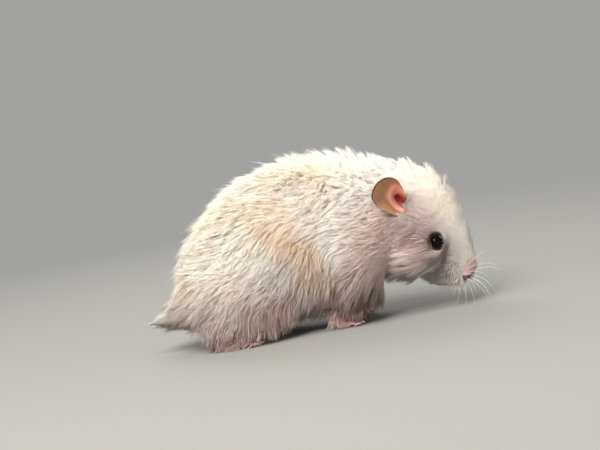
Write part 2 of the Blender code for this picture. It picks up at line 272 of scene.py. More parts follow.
def ring_faces(rings, sides, closed=False):
    """Faces between rings of points that follow each other, also from last to first if closed."""
    total = rings * sides
    faces = []
    for ring in range(rings if closed else rings - 1):
        for k in range(sides):
            a, b = ring * sides + k, ring * sides + (k + 1) % sides
            faces.append((a, b, (b + sides) % total, (a + sides) % total))
    return faces


def tube(path, radii, sides=12):
    """A closed tube along the path, whose radius follows radii."""
    path = np.asarray(path, float)
    radii = np.asarray(radii, float)
    along = unit(np.gradient(path, axis=0))
    helper = UP if abs(along[0][2]) < 0.8 else np.array([0.0, 1.0, 0.0])
    across = unit(np.cross(along, helper))
    over = np.cross(across, along)
    turns = 2 * np.pi * np.arange(sides) / sides
    rings = path[:, None] + radii[:, None, None] * (
        across[:, None] * np.cos(turns)[None, :, None] + over[:, None] * np.sin(turns)[None, :, None]
    )
    last = sides * (len(path) - 1)
    caps = [tuple(range(sides)), tuple(reversed(range(last, last + sides)))]
    mesh = mesh_of("tube", rings.reshape(-1, 3), caps + ring_faces(len(path), sides))
    face_outwards(mesh)
    return mesh


def joined(name, meshes):
    """One object of all the meshes, which are removed."""
    mesh = mesh_from(bmesh_of(*meshes), name)
    for used in meshes:
        bpy.data.meshes.remove(used)
    return add_object(name, mesh)


def curved(points, count):
    """count points on a smooth curve through the given ones."""
    rows = np.asarray(points, float)
    padded = np.vstack([2 * rows[0] - rows[1], rows, 2 * rows[-1] - rows[-2]])
    at = np.linspace(0, len(rows) - 1, count)
    start = np.minimum(at.astype(int), len(rows) - 2)
    t = (at - start)[:, None]
    p0, p1, p2, p3 = (padded[start + k] for k in range(4))
    curve = 2 * p1 + (p2 - p0) * t + (2 * p0 - 5 * p1 + 4 * p2 - p3) * t**2
    return 0.5 * (curve + (3 * p1 - p0 - 3 * p2 + p3) * t**3)


# ---------------------------------------------------------------- the coat's style over the body

Style = namedtuple("Style", "depth lift girth density wave clump")

# Each place is a point as (x, distance from the mid-plane, z), how far it reaches, and its style.
# Between places the style blends. depth is how far the skin lies under the coat's surface, lift the
# hair's angle from the skin in degrees, girth the width of a lock, density the locks for each square
# mm, wave the size of the curl in mm and clump how far the locks' tips draw together.
PLACES = {
    "nose": ((67, 0, 15), 4, (0.25, 12, 0.11, 9.0, 0.0, 0.0)),
    "nose_side": ((63.8, 6.8, 12.5), 4, (0.3, 14, 0.12, 11.0, 0.0, 0.0)),
    "bridge": ((66, 2, 27), 7, (0.8, 18, 0.15, 13.0, 0.02, 0.1)),
    "whisker_pad": ((57, 8.5, 14.5), 3.6, (1.4, 10, 0.15, 10.0, 0.2, 0.45)),
    "lip": ((54, 9, 15), 5, (0.5, 12, 0.14, 11.0, 0.03, 0.2)),
    "chin": ((56, 2, 8.5), 7, (0.5, 15, 0.15, 10.0, 0.03, 0.2)),
    "eye": ((52, 13, 28), 7, (0.55, 10, 0.12, 14.0, 0.02, 0.15)),
    "brow": ((62, 6, 41), 8, (2.2, 36, 0.18, 9.0, 0.15, 0.35)),
    "forehead": ((60, 0, 54), 9, (4.0, 60, 0.19, 8.0, 0.35, 0.8)),
    "crown": ((46, 3, 62), 10, (5.0, 64, 0.21, 7.0, 0.45, 0.85)),
    "temple": ((47, 14, 42), 7, (2.0, 22, 0.18, 9.0, 0.15, 0.3)),
    "cheek": ((43, 17, 25), 8, (2.6, 17, 0.2, 7.5, 0.25, 0.4)),
    "jowl": ((42, 9, 13), 8, (3.0, 22, 0.22, 6.5, 0.3, 0.4)),
    "ear_front": ((41, 18, 42), 5, (1.2, 17, 0.15, 11.0, 0.05, 0.2)),
    "ear_back": ((31, 19, 45), 6, (3.2, 32, 0.24, 7.0, 0.3, 0.4)),
    "nape": ((28, 3, 69), 11, (6.5, 64, 0.23, 5.6, 0.55, 0.8)),
    "neck_side": ((24, 22, 36), 10, (4.5, 25, 0.26, 5.0, 0.45, 0.4)),
    "throat": ((33, 3, 10), 9, (4.0, 34, 0.26, 5.0, 0.45, 0.4)),
    "chest": ((22, 8, 9), 9, (4.5, 34, 0.28, 4.6, 0.5, 0.45)),
    "shoulder": ((16, 25, 26), 11, (5.0, 28, 0.28, 4.6, 0.55, 0.45)),
    "withers": ((6, 4, 72), 13, (6.5, 56, 0.27, 4.6, 0.6, 0.5)),
    "back": ((-15, 4, 69), 14, (6.5, 48, 0.27, 4.6, 0.6, 0.45)),
    "flank": ((-6, 26, 40), 14, (6.0, 36, 0.26, 5.0, 0.7, 0.3)),
    "loin": ((-36, 4, 57), 13, (6.3, 46, 0.28, 4.4, 0.6, 0.45)),
    "rump": ((-52, 2, 35), 11, (5.8, 38, 0.28, 4.4, 0.55, 0.4)),
    "hip": ((-42, 22, 40), 12, (6.0, 40, 0.26, 4.8, 0.7, 0.3)),
    "haunch": ((-28, 29, 24), 13, (5.5, 34, 0.25, 5.0, 0.75, 0.3)),
    "tail_root": ((-54, 4, 19), 8, (4.0, 26, 0.25, 4.8, 0.45, 0.4)),
    "tail": ((-63, 0, 15), 5, (1.8, 20, 0.2, 6.5, 0.3, 0.4)),
    "belly": ((-8, 3, 6), 14, (3.6, 30, 0.34, 2.6, 0.5, 0.4)),
    "thigh": ((-32, 24, 9), 8, (3.0, 28, 0.26, 4.6, 0.5, 0.4)),
    "forearm": ((14, 17, 13), 7, (2.6, 24, 0.22, 5.5, 0.3, 0.3)),
    "wrist": ((14, 13.5, 6), 5, (1.7, 22, 0.17, 8.0, 0.15, 0.3)),
    "ankle": ((-38, 20, 4.5), 4, (0.9, 18, 0.16, 8.0, 0.1, 0.2)),
}


def style_at(points):
    """The Style at each point, blended between the named places."""
    where = straight(points)
    weights, values = [], []
    for point, reach, style in PLACES.values():
        distance = length_of(where - np.array(point, float))
        weights.append(1.0 / (0.02 + (distance / reach) ** 4))
        values.append(style)
    weights = np.array(weights)
    blended = np.array(values).T @ weights / weights.sum(axis=0)
    return Style(*blended)


# ---------------------------------------------------------------- the ears

EAR_HEIGHT = 19.5
EAR_WIDTH = 14.8
EAR_CUP = 3.4  # depth of the hollow
EAR_SPREAD = 30.0  # degrees that the ear leans out to the side
EAR_LEAN_BACK = 9.0  # degrees
EAR_TURN = 22.0  # degrees that its opening turns to the front
EAR_SKEW = 0.45  # radians by which its narrow end lies towards the back
EAR_RINGS = 22
EAR_SPOKES = 72
EAR_THIN, EAR_RIM = 0.55, 0.8  # thickness of the pinna inside its rim, and of the rolled rim

# Places on the pinna as (towards the front, up), each from -1 to 1.
CANAL = ((0.68, -0.44), (0.66, -0.66))
ANTIHELIX = ((0.20, -0.86), (0.14, -0.55), (0.20, -0.20), (0.38, 0.06), (0.68, 0.24))
TRAGUS = ((0.56, -0.90), (0.86, -0.60), (0.97, -0.25))
LOBE = ((0.28, -0.74), (0.40, -0.78), (0.50, -0.88))
EAR_BAND = ((-0.80, -0.05), (-0.20, 0.05))  # a duller band across the membrane
EAR_SLANT = 3.2  # how far the root lies ahead of the middle, so that the pinna leans back
EAR_NICK, EAR_NICK_TURN = 0.035, 2.9  # a small nick in the back edge: its depth and where it is
PINK_FOLD = ((0.34, -0.84), (0.40, -0.45), (0.50, -0.1), (0.74, 0.10))
WARM_SPOT = ((-0.7, 0.5), (-0.3, 0.75))


def ear_turn(side):
    """The rotation that stands an ear up on one side of the head."""
    return (
        Matrix.Rotation(math.radians(-EAR_LEAN_BACK), 4, "Y")
        @ Matrix.Rotation(math.radians(-EAR_SPREAD * side), 4, "X")
        @ Matrix.Rotation(math.radians(-EAR_TURN * side), 4, "Z")
    )


def ear_sheet():
    """The pinna's middle surface: its flat map, its points and how near the rim each one is."""
    reach = np.repeat(np.arange(1, EAR_RINGS + 1) / EAR_RINGS, EAR_SPOKES)
    turn = np.tile(2 * np.pi * np.arange(EAR_SPOKES) / EAR_SPOKES, EAR_RINGS)
    reach = np.append(reach, 0.0)
    turn = np.append(turn, 0.0)
    flat = np.stack([np.cos(turn) * reach, np.sin(turn) * reach], axis=1)
    lower = np.maximum(0.0, -np.sin(turn + EAR_SKEW))
    nick = EAR_NICK * hump(turn - EAR_NICK_TURN, 0.06) * reach**4
    edge = 1 - 0.012 * np.sin(5 * turn + 1.0) - nick
    across = EAR_WIDTH / 2 * (1 - 0.6 * lower**1.2) * flat[:, 0] * edge
    up = EAR_HEIGHT / 2 * (1 + flat[:, 1] * edge * (1 + 0.15 * lower))
    across += EAR_SLANT * np.maximum(0, -flat[:, 1]) ** 1.3
    hollow = EAR_CUP * (1 - reach**2.4)
    hollow += 2.6 * hump(line_distance(flat, CANAL), 0.20)
    hollow -= 1.5 * hump(line_distance(flat, ANTIHELIX), 0.17) * (1 - reach**8)
    hollow -= 0.7 * hump(line_distance(flat, TRAGUS), 0.12)
    hollow -= 1.3 * hump(line_distance(flat, LOBE), 0.09)
    front = rise(np.cos(turn - 0.2), 0.3, 0.9)
    hollow -= (0.6 + 1.1 * front) * hump(reach - 0.95, 0.07)
    hollow += 0.3 * np.sin(3 * turn) * reach**3
    rim = rise(reach, 0.86, 0.97)
    return flat, np.stack([across, hollow, up], axis=1), rim


def ear_mesh(side):
    """A closed pinna with its opening towards -Y, mirrored for the left side, and its flat map."""
    flat, middle, rim = ear_sheet()
    count = len(middle)
    half = (EAR_THIN + (EAR_RIM - EAR_THIN) * rim) / 2
    half[(EAR_RINGS - 1) * EAR_SPOKES : EAR_RINGS * EAR_SPOKES] *= 0.45
    sheets = [middle + np.outer(half * way, [0, 1, 0]) for way in (-1, 1)]
    points = np.vstack(sheets)
    faces = []
    for k in range(EAR_SPOKES):
        beside = (k + 1) % EAR_SPOKES
        faces.append((count - 1, k, beside))
        faces.append((2 * count - 1, count + beside, count + k))
        for ring in range(EAR_RINGS - 1):
            a, b = ring * EAR_SPOKES + k, ring * EAR_SPOKES + beside
            c, d = b + EAR_SPOKES, a + EAR_SPOKES
            faces.append((a, d, c, b))
            faces.append((count + a, count + b, count + c, count + d))
        edge = (EAR_RINGS - 1) * EAR_SPOKES
        faces.append((edge + k, count + edge + k, count + edge + beside, edge + beside))
    points[:, 1] *= -side
    mesh = mesh_of("ear", points, faces)
    mesh.transform(ear_turn(side))
    face_outwards(mesh)
    return mesh, np.vstack([flat, flat]), np.repeat([1.0, 0.0], count)


def ear_local(points, side_name):
    """Points in one ear's own axes: towards its front, across the sheet and up from its root."""
    return (points - EAR_BASES[side_name]) @ np.array(ear_turn(SIDES[side_name]).to_3x3())


def height_on_ear(points):
    """How far up its own ear each point lies."""
    on_left = points[:, 1] > spine_y(points[:, 0])
    return np.where(on_left, ear_local(points, "left")[:, 2], ear_local(points, "right")[:, 2])


def ear_base(side_name, mesh):
    """Where the ear stands, so that its tip and its outer side meet the solid's."""
    low, high = box_mm(f"ear_{side_name}")
    points = points_of(mesh)
    x = (low[0] + high[0]) / 2 - (points[:, 0].min() + points[:, 0].max()) / 2
    outer = (low[1] - points[:, 1].min()) if side_name == "right" else (high[1] - points[:, 1].max())
    return np.array([x, outer, high[2] - points[:, 2].max()])


EAR_BASES = {name: ear_base(name, ear_mesh(side)[0]) for name, side in SIDES.items()}


# ---------------------------------------------------------------- the feet

Foot = namedtuple("Foot", "palm toes fan toe_length toe_radius cuff")

# palm is the palm's (half length, half width, half height), fan the outer toes' angle in degrees
# and cuff the height below which the foot is bare.
FEET = {
    "forepaw": Foot((3.7, 3.0, 1.9), 4, 24, 4.2, 0.85, 5.5),
    "hindfoot": Foot((8.0, 3.3, 1.95), 5, 20, 5.2, 0.9, 0.9),
}
LEG_END = 8.0  # the height from which the end of each leg runs down into its foot
# Widths along a toe and along a claw, in toe radii.
TOE_GIRTH = np.array([1.05, 1.0, 0.95, 0.98, 0.92, 0.82, 0.86, 0.92, 0.7])
CLAW_GIRTH = np.array([0.34, 0.36, 0.33, 0.27, 0.2, 0.12, 0.03])


def toe_path(root, heading, length, radius):
    """One toe arches up from its root and comes down to its pad."""
    ahead = np.array([math.cos(heading), math.sin(heading), 0.0])
    knuckle = root + ahead * length * 0.42 + UP * radius * 0.75
    joint = root + ahead * length * 0.78 + UP * radius * 0.25
    pad = root + ahead * length
    pad[2] = radius * 0.85
    return curved([root, knuckle, joint, pad], 9), ahead


def foot_parts(kind, side_name):
    """Meshes of one foot, and its claws as (path, radii)."""
    shape = FEET[kind]
    side = SIDES[side_name]
    half_length, half_width, half_height = shape.palm
    low, high = box_mm(f"{kind}_{side_name}")
    heel = low[0] + half_length * 0.2
    middle_y = (low[1] + high[1]) / 2
    centre = np.array([heel + half_length * 0.8, middle_y, half_height * 0.72])
    meshes = [ball(centre, shape.palm)]
    leg_top = np.array([heel + half_length * 0.1, middle_y, LEG_END])
    ankle = np.array([heel + half_length * 0.3, middle_y, half_height])
    shin = curved([leg_top, (leg_top + ankle) / 2, ankle], 7)
    meshes.append(tube(shin, np.full(len(shin), half_width * 0.8)))
    claws = []
    for k in range(shape.toes):
        spread = 2 * k / (shape.toes - 1) - 1
        short = 1 - 0.3 * abs(spread) ** 1.5
        radius = shape.toe_radius
        root_x = centre[0] + half_length * 0.62 * short
        root = np.array([root_x, middle_y + half_width * 0.78 * spread, radius * 1.15])
        path, ahead = toe_path(root, math.radians(shape.fan) * spread, shape.toe_length * short, radius)
        meshes.append(tube(path, radius * TOE_GIRTH))
        meshes.append(ball(path[-1] + ahead * radius * 0.1, radius * np.array([0.95, 0.9, 0.85])))
        meshes.append(ball(path[-1] - UP * radius * 0.1, radius * np.array([1.0, 0.75, 0.7])))
        tip = path[-1] + ahead * radius * 0.7
        claw = curved([tip + UP * 0.3, tip + ahead * 0.9 + UP * 0.42, tip + ahead * 1.7 - UP * 0.1], 7)
        claws.append((claw, radius * CLAW_GIRTH))
        pad = root + np.array([-0.6, 0, -0.55 * radius])
        meshes.append(ball(pad, (1.1, 0.75, 0.6)))
    for way in (-1, 1):
        heel_pad = centre + np.array([-half_length * 0.45, way * half_width * 0.35, -half_height * 0.62])
        meshes.append(ball(heel_pad, (1.6, 1.1, 0.7)))
    return meshes, claws


# ---------------------------------------------------------------- the skin

FORM_VOXEL = 0.8
SKIN_VOXEL = 0.4
SEAM = 0.25  # the solids are swollen by this to close the cuts between them
SHRINK_STEPS = 12
SKIN_TRIANGLES = 150000
SOLE = 0.12  # the skin's sole lies this far above the floor
EYE_RADIUS = 3.6
CORNEA, CORNEA_SPREAD = 0.035, 0.75  # how far the eye's front bulges, and over what angle
EYE_AHEAD, EYE_UP = 0.36, 0.2  # an eye looks out to the side, a little forward and up
LID_RING = 3.15  # radius of the opening between the lids
LID_HEIGHT = math.sqrt(EYE_RADIUS**2 - LID_RING**2) + 0.12  # that ring's height over the eye's centre
LID_GIRTH = 0.34
LID_SPOKES, LID_SIDES = 56, 10
FLESH = [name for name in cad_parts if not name.startswith("eye")]

# Lines and points on the face as (x, distance from the mid-plane, z).
NOSE_SIDE = (65.0, 5.6, 13.8)
NOSE_PAD = (68.2, 0.0, 14.4)
TEAR_LINE = ((55.0, 11.8, 24.5), (55.4, 10.5, 19.5), (53.8, 10.0, 16.0))
CLEFT = ((68.6, 0, 13.2), (67.6, 0, 11.4), (66.2, 0, 9.6))
NOSTRIL = ((68.2, 1.0, 14.4), (67.8, 1.8, 14.0), (67.0, 2.4, 13.9))
MOUTH_GAP = ((61.2, 8.1, 10.8), (64.6, 5.6, 11.3))  # dark under the side of the nose: painted shade in the groove there
NOSE_WING = ((67.9, 1.3, 15.6), (67.0, 2.6, 15.4))
WHISKER_PAD = (56.9, 8.7, 14.6)
LIP_SHADE_LINE = ((49.0, 10.0, 13.2), (53.5, 8.6, 12.6), (57.0, 8.0, 10.8))

MOUTH_HEIGHT, MOUTH_SLOPE = 9.2, 0.06  # the line between the lips, and how it climbs forward

# What is carved into the face or raised on it: by how much, the line, and from where to where
# it fades.
CARVINGS = (
    (-0.45, TEAR_LINE, 0.5, 4.5),
    (-0.7, MOUTH_GAP, 0.6, 1.8),
    (-0.75, CLEFT, 0.05, 0.75),
    (-1.0, NOSTRIL, 0.15, 0.85),
    (0.3, NOSE_WING, 0.3, 1.3),
)

# A mass of flesh at the root of each ear, in the ear's own axes, and its radii.
EAR_ROOT, EAR_ROOT_RADII = (1.4, 3.6, -2.0), (3.6, 2.5, 4.2)
CLAWS = []  # the claws' paths and radii, noted down as the feet are made
BODY, LID, EAR_INSIDE, EAR_BACK = range(4)  # the kinds of part on the skin


def smoothed(values, edges, steps):
    """Laplacian smoothing of rows of numbers over a mesh's edges."""
    count = np.bincount(edges.ravel(), minlength=len(values)).astype(float)[:, None]
    for _ in range(steps):
        total = np.zeros_like(values)
        for column in range(values.shape[1]):
            total[:, column] = np.bincount(edges[:, 0], values[edges[:, 1], column], len(values))
            total[:, column] += np.bincount(edges[:, 1], values[edges[:, 0], column], len(values))
        values = 0.5 * values + 0.5 * total / np.maximum(count, 1)
    return values


def coat_form():
    """The solids of the furred parts as one closed mesh, which is the coat's outer surface."""
    meshes = []
    for name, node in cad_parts.items():
        if name.startswith(BARE):
            continue
        bm = bmesh_of(node.data)
        bmesh.ops.remove_doubles(bm, verts=bm.verts, dist=0.01 * MM)
        bm.normal_update()
        for vertex in bm.verts:
            vertex.co += vertex.normal * SEAM * MM
        meshes.append(mesh_from(bm, name))
    return remeshed(joined("form", meshes), FORM_VOXEL, 4)


def shrink_to_skin(form):
    """Moves the coat's surface in by the coat's depth, in small steps so that it never folds."""
    mesh = form.data
    points = points_of(mesh)
    edges = edges_of(mesh)
    step = (style_at(points).depth + SEAM)[:, None] / SHRINK_STEPS
    for _ in range(SHRINK_STEPS):
        points = smoothed(points - normals_of(mesh) * step, edges, 1)
        set_points(mesh, points)


def eye_frame(side_name):
    """An eye's centre, the way it looks, and two directions across: forward and up."""
    side = SIDES[side_name]
    axis = unit(np.array([EYE_AHEAD, side, EYE_UP]))
    ahead = unit(np.array([1.0, 0, 0]) - axis * axis[0])
    above = np.cross(axis, ahead) * (1 if np.cross(axis, ahead)[2] > 0 else -1)
    return EYES[side_name], axis, ahead, above


def seat_eyes(points):
    """Draws the skin round each eye to the ring where its lids close on the ball."""
    for side_name in SIDES:
        centre, axis, _, _ = eye_frame(side_name)
        offset = points - centre
        height = offset @ axis
        across = length_of(offset - np.outer(height, axis))
        facing = (length_of(offset) < 11) & (height > -2)
        hollow = LID_HEIGHT - 2.4 * (1 - rise(across, LID_RING - 1.4, LID_RING + 0.1))
        own = rise(across, LID_RING + 0.2, LID_RING + 4.6)
        wanted = hollow * (1 - own) + height * own
        points = points + np.outer(np.where(facing, wanted - height, 0), axis)
    return points


def mouth_distance(where):
    """Height above the line between the lips."""
    return where[:, 2] - MOUTH_HEIGHT - (where[:, 0] - 60) * MOUTH_SLOPE


def mouth_opening(where):
    """Half width of the dark line between the lips, which part a little at the front."""
    return 0.42 + 0.45 * rise(where[:, 0], 61, 65)


def carve_face(points, normals):
    """Lips, the cleft under the nose, nostrils, the nose pad and the folds beside it."""
    where = straight(points)
    move = np.zeros(len(points))
    front = rise(where[:, 0], 47, 50)
    gap = mouth_distance(where)
    slit, upper_lip, lower_lip = (-1.1, 0.0, mouth_opening(where)), (0.35, 1.4, 0.8), (0.25, -1.2, 0.7)
    for amount, height, width in (slit, upper_lip, lower_lip):
        move += amount * front * hump(gap - height, width)
    for amount, line, inner, outer in CARVINGS:
        move += amount * near_line(where, line, inner, outer)
    move += 0.25 * near(where, NOSE_PAD, 1.8, 2.7)
    return points + normals * move[:, None]


def skin_body():
    """The skin without ears and lids: the body, legs, feet, tail and the roots of the ears."""
    form = coat_form()
    shrink_to_skin(form)
    meshes = [form.data.copy()]
    bpy.data.objects.remove(form, do_unlink=True)
    for side_name, side in SIDES.items():
        turn = ear_turn(side)
        ahead, across, up = EAR_ROOT
        offset = turn @ Vector((ahead, -side * across, up))
        meshes.append(ball(EAR_BASES[side_name] + np.array(offset), EAR_ROOT_RADII, turn))
        for kind in FEET:
            parts, claws = foot_parts(kind, side_name)
            meshes.extend(parts)
            CLAWS.extend(claws)
    body = remeshed(joined("skin", meshes), SKIN_VOXEL, 3)
    mesh = body.data
    points = seat_eyes(points_of(mesh))
    set_points(mesh, points)
    near_eyes = np.zeros(len(points))
    for centre in EYES.values():
        near_eyes = np.maximum(near_eyes, near(points, centre, 4, 9))
    calm = smoothed(points, edges_of(mesh), 3)
    points = mix(points, calm, near_eyes * 0.6)
    set_points(mesh, points)
    points = carve_face(points, normals_of(mesh))
    points[:, 2] = np.maximum(points[:, 2], SOLE)
    set_points(mesh, points)
    thin = body.modifiers.new("Thin", "DECIMATE")
    thin.ratio = SKIN_TRIANGLES / (2 * len(mesh.polygons))
    return with_modifiers(body)


def lid_mesh(side_name):
    """The rims of both lids round one eye: a thin ring, a little longer than it is high."""
    centre, axis, ahead, above = eye_frame(side_name)
    points = []
    for i in range(LID_SPOKES):
        turn = 2 * math.pi * i / LID_SPOKES
        corner = abs(math.cos(turn)) ** 6
        way = ahead * math.cos(turn) * 1.05 + above * math.sin(turn) * 0.97
        middle = centre + axis * (LID_HEIGHT - 0.25 * corner) + way * LID_RING
        girth = LID_GIRTH * (1 + 0.25 * math.sin(turn))
        for k in range(LID_SIDES):
            around = 2 * math.pi * k / LID_SIDES
            outwards = unit(way) * girth * math.cos(around)
            points.append(middle + outwards + axis * girth * math.sin(around))
    mesh = mesh_of("lid", points, ring_faces(LID_SPOKES, LID_SIDES, closed=True))
    face_outwards(mesh)
    return mesh


# ---------------------------------------------------------------- colours, markings and painted shade

# Places of the markings and of the painted shade as (x, distance from the mid-plane, z), and the flank's
# line as (x, z).
FLANK_PATCH = ((-14, 56), (-4, 42), (6, 24))
NECK_SIDE = (38, 17, 32)
FOREHEAD = (60, 4, 46)
MUZZLE_SHADE = (58, 6, 21)
BEHIND_EYE = (47.5, 14.5, 31.0)


def colour(red, green, blue):
    """A linear colour from display values of 0 to 255."""
    made = np.array([red, green, blue]) / 255.0
    return np.where(made <= 0.04045, made / 12.92, ((made + 0.055) / 1.055) ** 2.4)


WHITE = colour(250, 238, 224)
CREAM = colour(248, 226, 192)
APRICOT = colour(228, 170, 126)
# A rose tint, deepened so that low on the body it is also painted shade.
ROSE_AND_SHADE = colour(209, 169, 162)
# Brown-grey painted shade for the lower haunch and the foreleg, which lie in shadow.
LEG_SHADE = colour(128, 98, 92)
# Lilac-grey painted shade, round the eye, on the muzzle's side and on the whisker pad.
LILAC_SHADE = colour(122, 92, 94)
HIDE = colour(232, 198, 182)
EAR_TAN = colour(186, 148, 108)
EAR_WARM = colour(206, 158, 110)
EAR_PINK = colour(236, 166, 150)
EAR_DULL = colour(176, 138, 122)
# Deep red of the ear's canal, darkened as painted shade in its hollow.
CANAL_RED_SHADE = colour(128, 30, 30)
EAR_EDGE = colour(66, 46, 30)
PAW_PINK = colour(190, 142, 148)
# The pink of the nose's side, darkened as painted shade, since that side faces down.
SHADED_NOSE_PINK = colour(190, 148, 144)
PAD_PINK = colour(222, 172, 166)
LIP_DARK = colour(70, 26, 27)
LID_DARK = colour(30, 17, 19)


def eye_shadow(where):
    """Painted shade above and behind the eye, where the skin also shows through thin fur, and in the
    fold from its front corner to the whisker pad.
    """
    behind = 0.85 * near(where, BEHIND_EYE, 2.5, 7.5)
    return np.maximum(behind, near_line(where, TEAR_LINE, 1.2, 4.6))


def layered(made, *marks):
    """The colours with each mark laid over them in turn: a colour and its share at each point."""
    for tone, share in marks:
        made = mix(made, tone, np.clip(share, 0, 1))
    return made


def coat_colour(points):
    """The coat's markings: white head, cream back and rump, an apricot patch on each flank; and painted
    shade low on the body, on the haunch and foreleg, round the eye and on the muzzle.
    """
    where = straight(points)
    x, y, z = where.T
    drift = waves(points, 16, 11)
    patch = 1 - rise(line_distance(where[:, [0, 2]], FLANK_PATCH), 3.0, 13.0)
    patch *= rise(y, 8, 20)
    strength = 0.4 + 0.35 * (1 - rise(z, 38, 58))
    back = rise(z, 30, 58) * (1 - rise(x, 4, 26)) * (0.75 + 0.35 * drift)
    rump = (1 - rise(x, -34, -14)) * rise(z, 12, 30) * (0.7 + 0.4 * drift)
    # The lower body, where the rose tint is partly painted shade, darker towards the bottom.
    low = (1 - rise(z, 14, 36)) * (1 - rise(x, 20, 34))
    # Where painted shade lies on the haunch and the foreleg, darker towards the bottom.
    haunch = (1 - rise(z, 2, 30)) * (1 - rise(x, -24, -8))
    foreleg = (1 - rise(z, 8, 34)) * (1 - rise(np.abs(x - 16), 6, 16))
    return layered(
        np.tile(WHITE, (len(points), 1)),
        (CREAM, back),
        (CREAM, rump),
        (APRICOT, patch * strength * (0.9 + 0.4 * waves(points, 7, 12))),
        (ROSE_AND_SHADE, low * (0.85 + 0.3 * drift)),
        (ROSE_AND_SHADE, 0.95 * near(where, NECK_SIDE, 9, 28)),
        (LEG_SHADE, 0.7 * haunch + 0.95 * foreleg),
        (WHITE, 0.7 * (1 - rise(x, -62, -50))),
        (CREAM, 0.5 * near(where, FOREHEAD, 5, 15)),
        (LILAC_SHADE, 0.8 * eye_shadow(where)),
        # Painted shade on the whisker pad.
        (LILAC_SHADE, 0.75 * near(where, WHISKER_PAD, 2.5, 6.0)),
        # Painted shade on the side of the muzzle.
        (LILAC_SHADE, 0.3 * near(where, MUZZLE_SHADE, 3.0, 8.0)),
        # A line of painted shade along the lip, under the whisker pad.
        (LIP_DARK, 0.6 * near_line(where, LIP_SHADE_LINE, 0.5, 1.8)),
        (SHADED_NOSE_PINK, 0.8 * near(where, NOSE_SIDE, 3.0, 5.4)),
    )


def skin_colour(points):
    """The skin: the coat's own tone under the fur, bare pink where the fur ends, and painted shade round
    the eyes, on the nose's side and under it.
    """
    where = straight(points)
    lips = rise(where[:, 0], 46.5, 49.5) * hump(mouth_distance(where), 2.1 * mouth_opening(where))
    return layered(
        coat_colour(points) * 0.85 + HIDE * 0.12,
        (PAW_PINK, 1 - rise(where[:, 2], 4.0, 7.5)),
        (LILAC_SHADE, 0.7 * eye_shadow(where)),
        (SHADED_NOSE_PINK, near(where, NOSE_SIDE, 3.5, 6.0)),
        (PAD_PINK, near(where, NOSE_PAD, 2.2, 3.4)),
        # Painted shade in the groove under the side of the nose.
        (LIP_DARK, 0.95 * near_line(where, MOUTH_GAP, 1.2, 2.2)),
        (LIP_DARK, 0.9 * lips),
        (LIP_DARK, 0.7 * near_line(where, CLEFT, 0.1, 0.8)),
        (LIP_DARK, near_line(where, NOSTRIL, 0.3, 0.95)),
        *((LID_DARK, 0.85 * near(points, eye, 3.9, 5.4)) for eye in EYES.values()),
    )


def ear_colour(flat, inner):
    """The pinna: tan membrane, dark edge, pink folds at the front and a deep red canal, darkened as
    painted shade in its hollow.
    """
    reach = length_of(flat)
    front, up = flat.T
    pink = (1 - rise(line_distance(flat, PINK_FOLD), 0.16, 0.5)) * (0.4 + 0.6 * inner)
    edge = rise(reach, 0.89, 0.96) * rise(up, -0.2, 0.3) * (1 - 0.5 * rise(front, 0.2, 0.7))
    return layered(
        np.tile(EAR_TAN, (len(flat), 1)),
        (EAR_WARM, 0.6 * hump(line_distance(flat, WARM_SPOT), 0.35)),
        (EAR_DULL, 0.6 * near_line(flat, EAR_BAND, 0.1, 0.4)),
        (EAR_PINK, 0.9 * pink),
        (HIDE, (0.35 + 0.5 * (1 - rise(up, -0.9, 0.2))) * (1 - inner)),
        (CANAL_RED_SHADE, near_line(flat, CANAL, 0.08, 0.26) * inner),
        (EAR_EDGE, 0.95 * edge),
    )


# ---------------------------------------------------------------- materials

HAIR_GLOW, SKIN_GLOW = 0.5, 1.1  # how far light passes into a lock and into the skin
PORE_DEPTH = 0.12


def preset(node, **inputs):
    """Sets a node's own sockets. An underscore in a name stands for a space."""
    for key, value in inputs.items():
        node.inputs[key.replace("_", " ")].default_value = value
    return node


class Finish:
    """A new material, its shader, and short ways to add nodes to it and to link them."""

    def __init__(self, name):
        self.material = bpy.data.materials.new(name)
        self.material.use_nodes = True
        self.tree = self.material.node_tree
        self.shader = self.tree.nodes["Principled BSDF"]

    def add(self, kind, **inputs):
        return preset(self.tree.nodes.new(kind), **inputs)

    def link(self, output, node, socket):
        self.tree.links.new(output, node.inputs[socket])

    def attribute(self, name):
        node = self.add("ShaderNodeAttribute")
        node.attribute_name = name
        return node.outputs["Color"]

    def place(self):
        return self.add("ShaderNodeTexCoord").outputs["Object"]

    def noise(self, scale, detail):
        """Noise in the piece's own space, with features about 1/scale metres wide."""
        node = self.add("ShaderNodeTexNoise", Scale=scale, Detail=detail)
        self.link(self.place(), node, "Vector")
        return node.outputs["Fac"]

    def ranged(self, source, low, high):
        """source, from 0 to 1, mapped to run from low to high."""
        node = self.add("ShaderNodeMapRange", To_Min=low, To_Max=high)
        self.link(source, node, "Value")
        return node.outputs["Result"]

    def ramp(self, source, low, high):
        """A colour that goes from low to high as source goes from 0 to 1."""
        node = self.add("ShaderNodeValToRGB")
        for element, value in zip(node.color_ramp.elements, (low, high)):
            element.color = (*value, 1)
        self.link(source, node, "Fac")
        return node.outputs["Color"]

    def product(self, a, b):
        node = self.add("ShaderNodeMath")
        node.operation = "MULTIPLY"
        self.link(a, node, 0)
        self.link(b, node, 1)
        return node.outputs["Value"]

    def shaded_tint(self, shade):
        """The painted colour times shade, as the shader's colour."""
        node = self.add("ShaderNodeVectorMath")
        node.operation = "SCALE"
        self.link(self.attribute("tint"), node, 0)
        self.link(shade, node, "Scale")
        self.link(node.outputs["Vector"], self.shader, "Base Color")


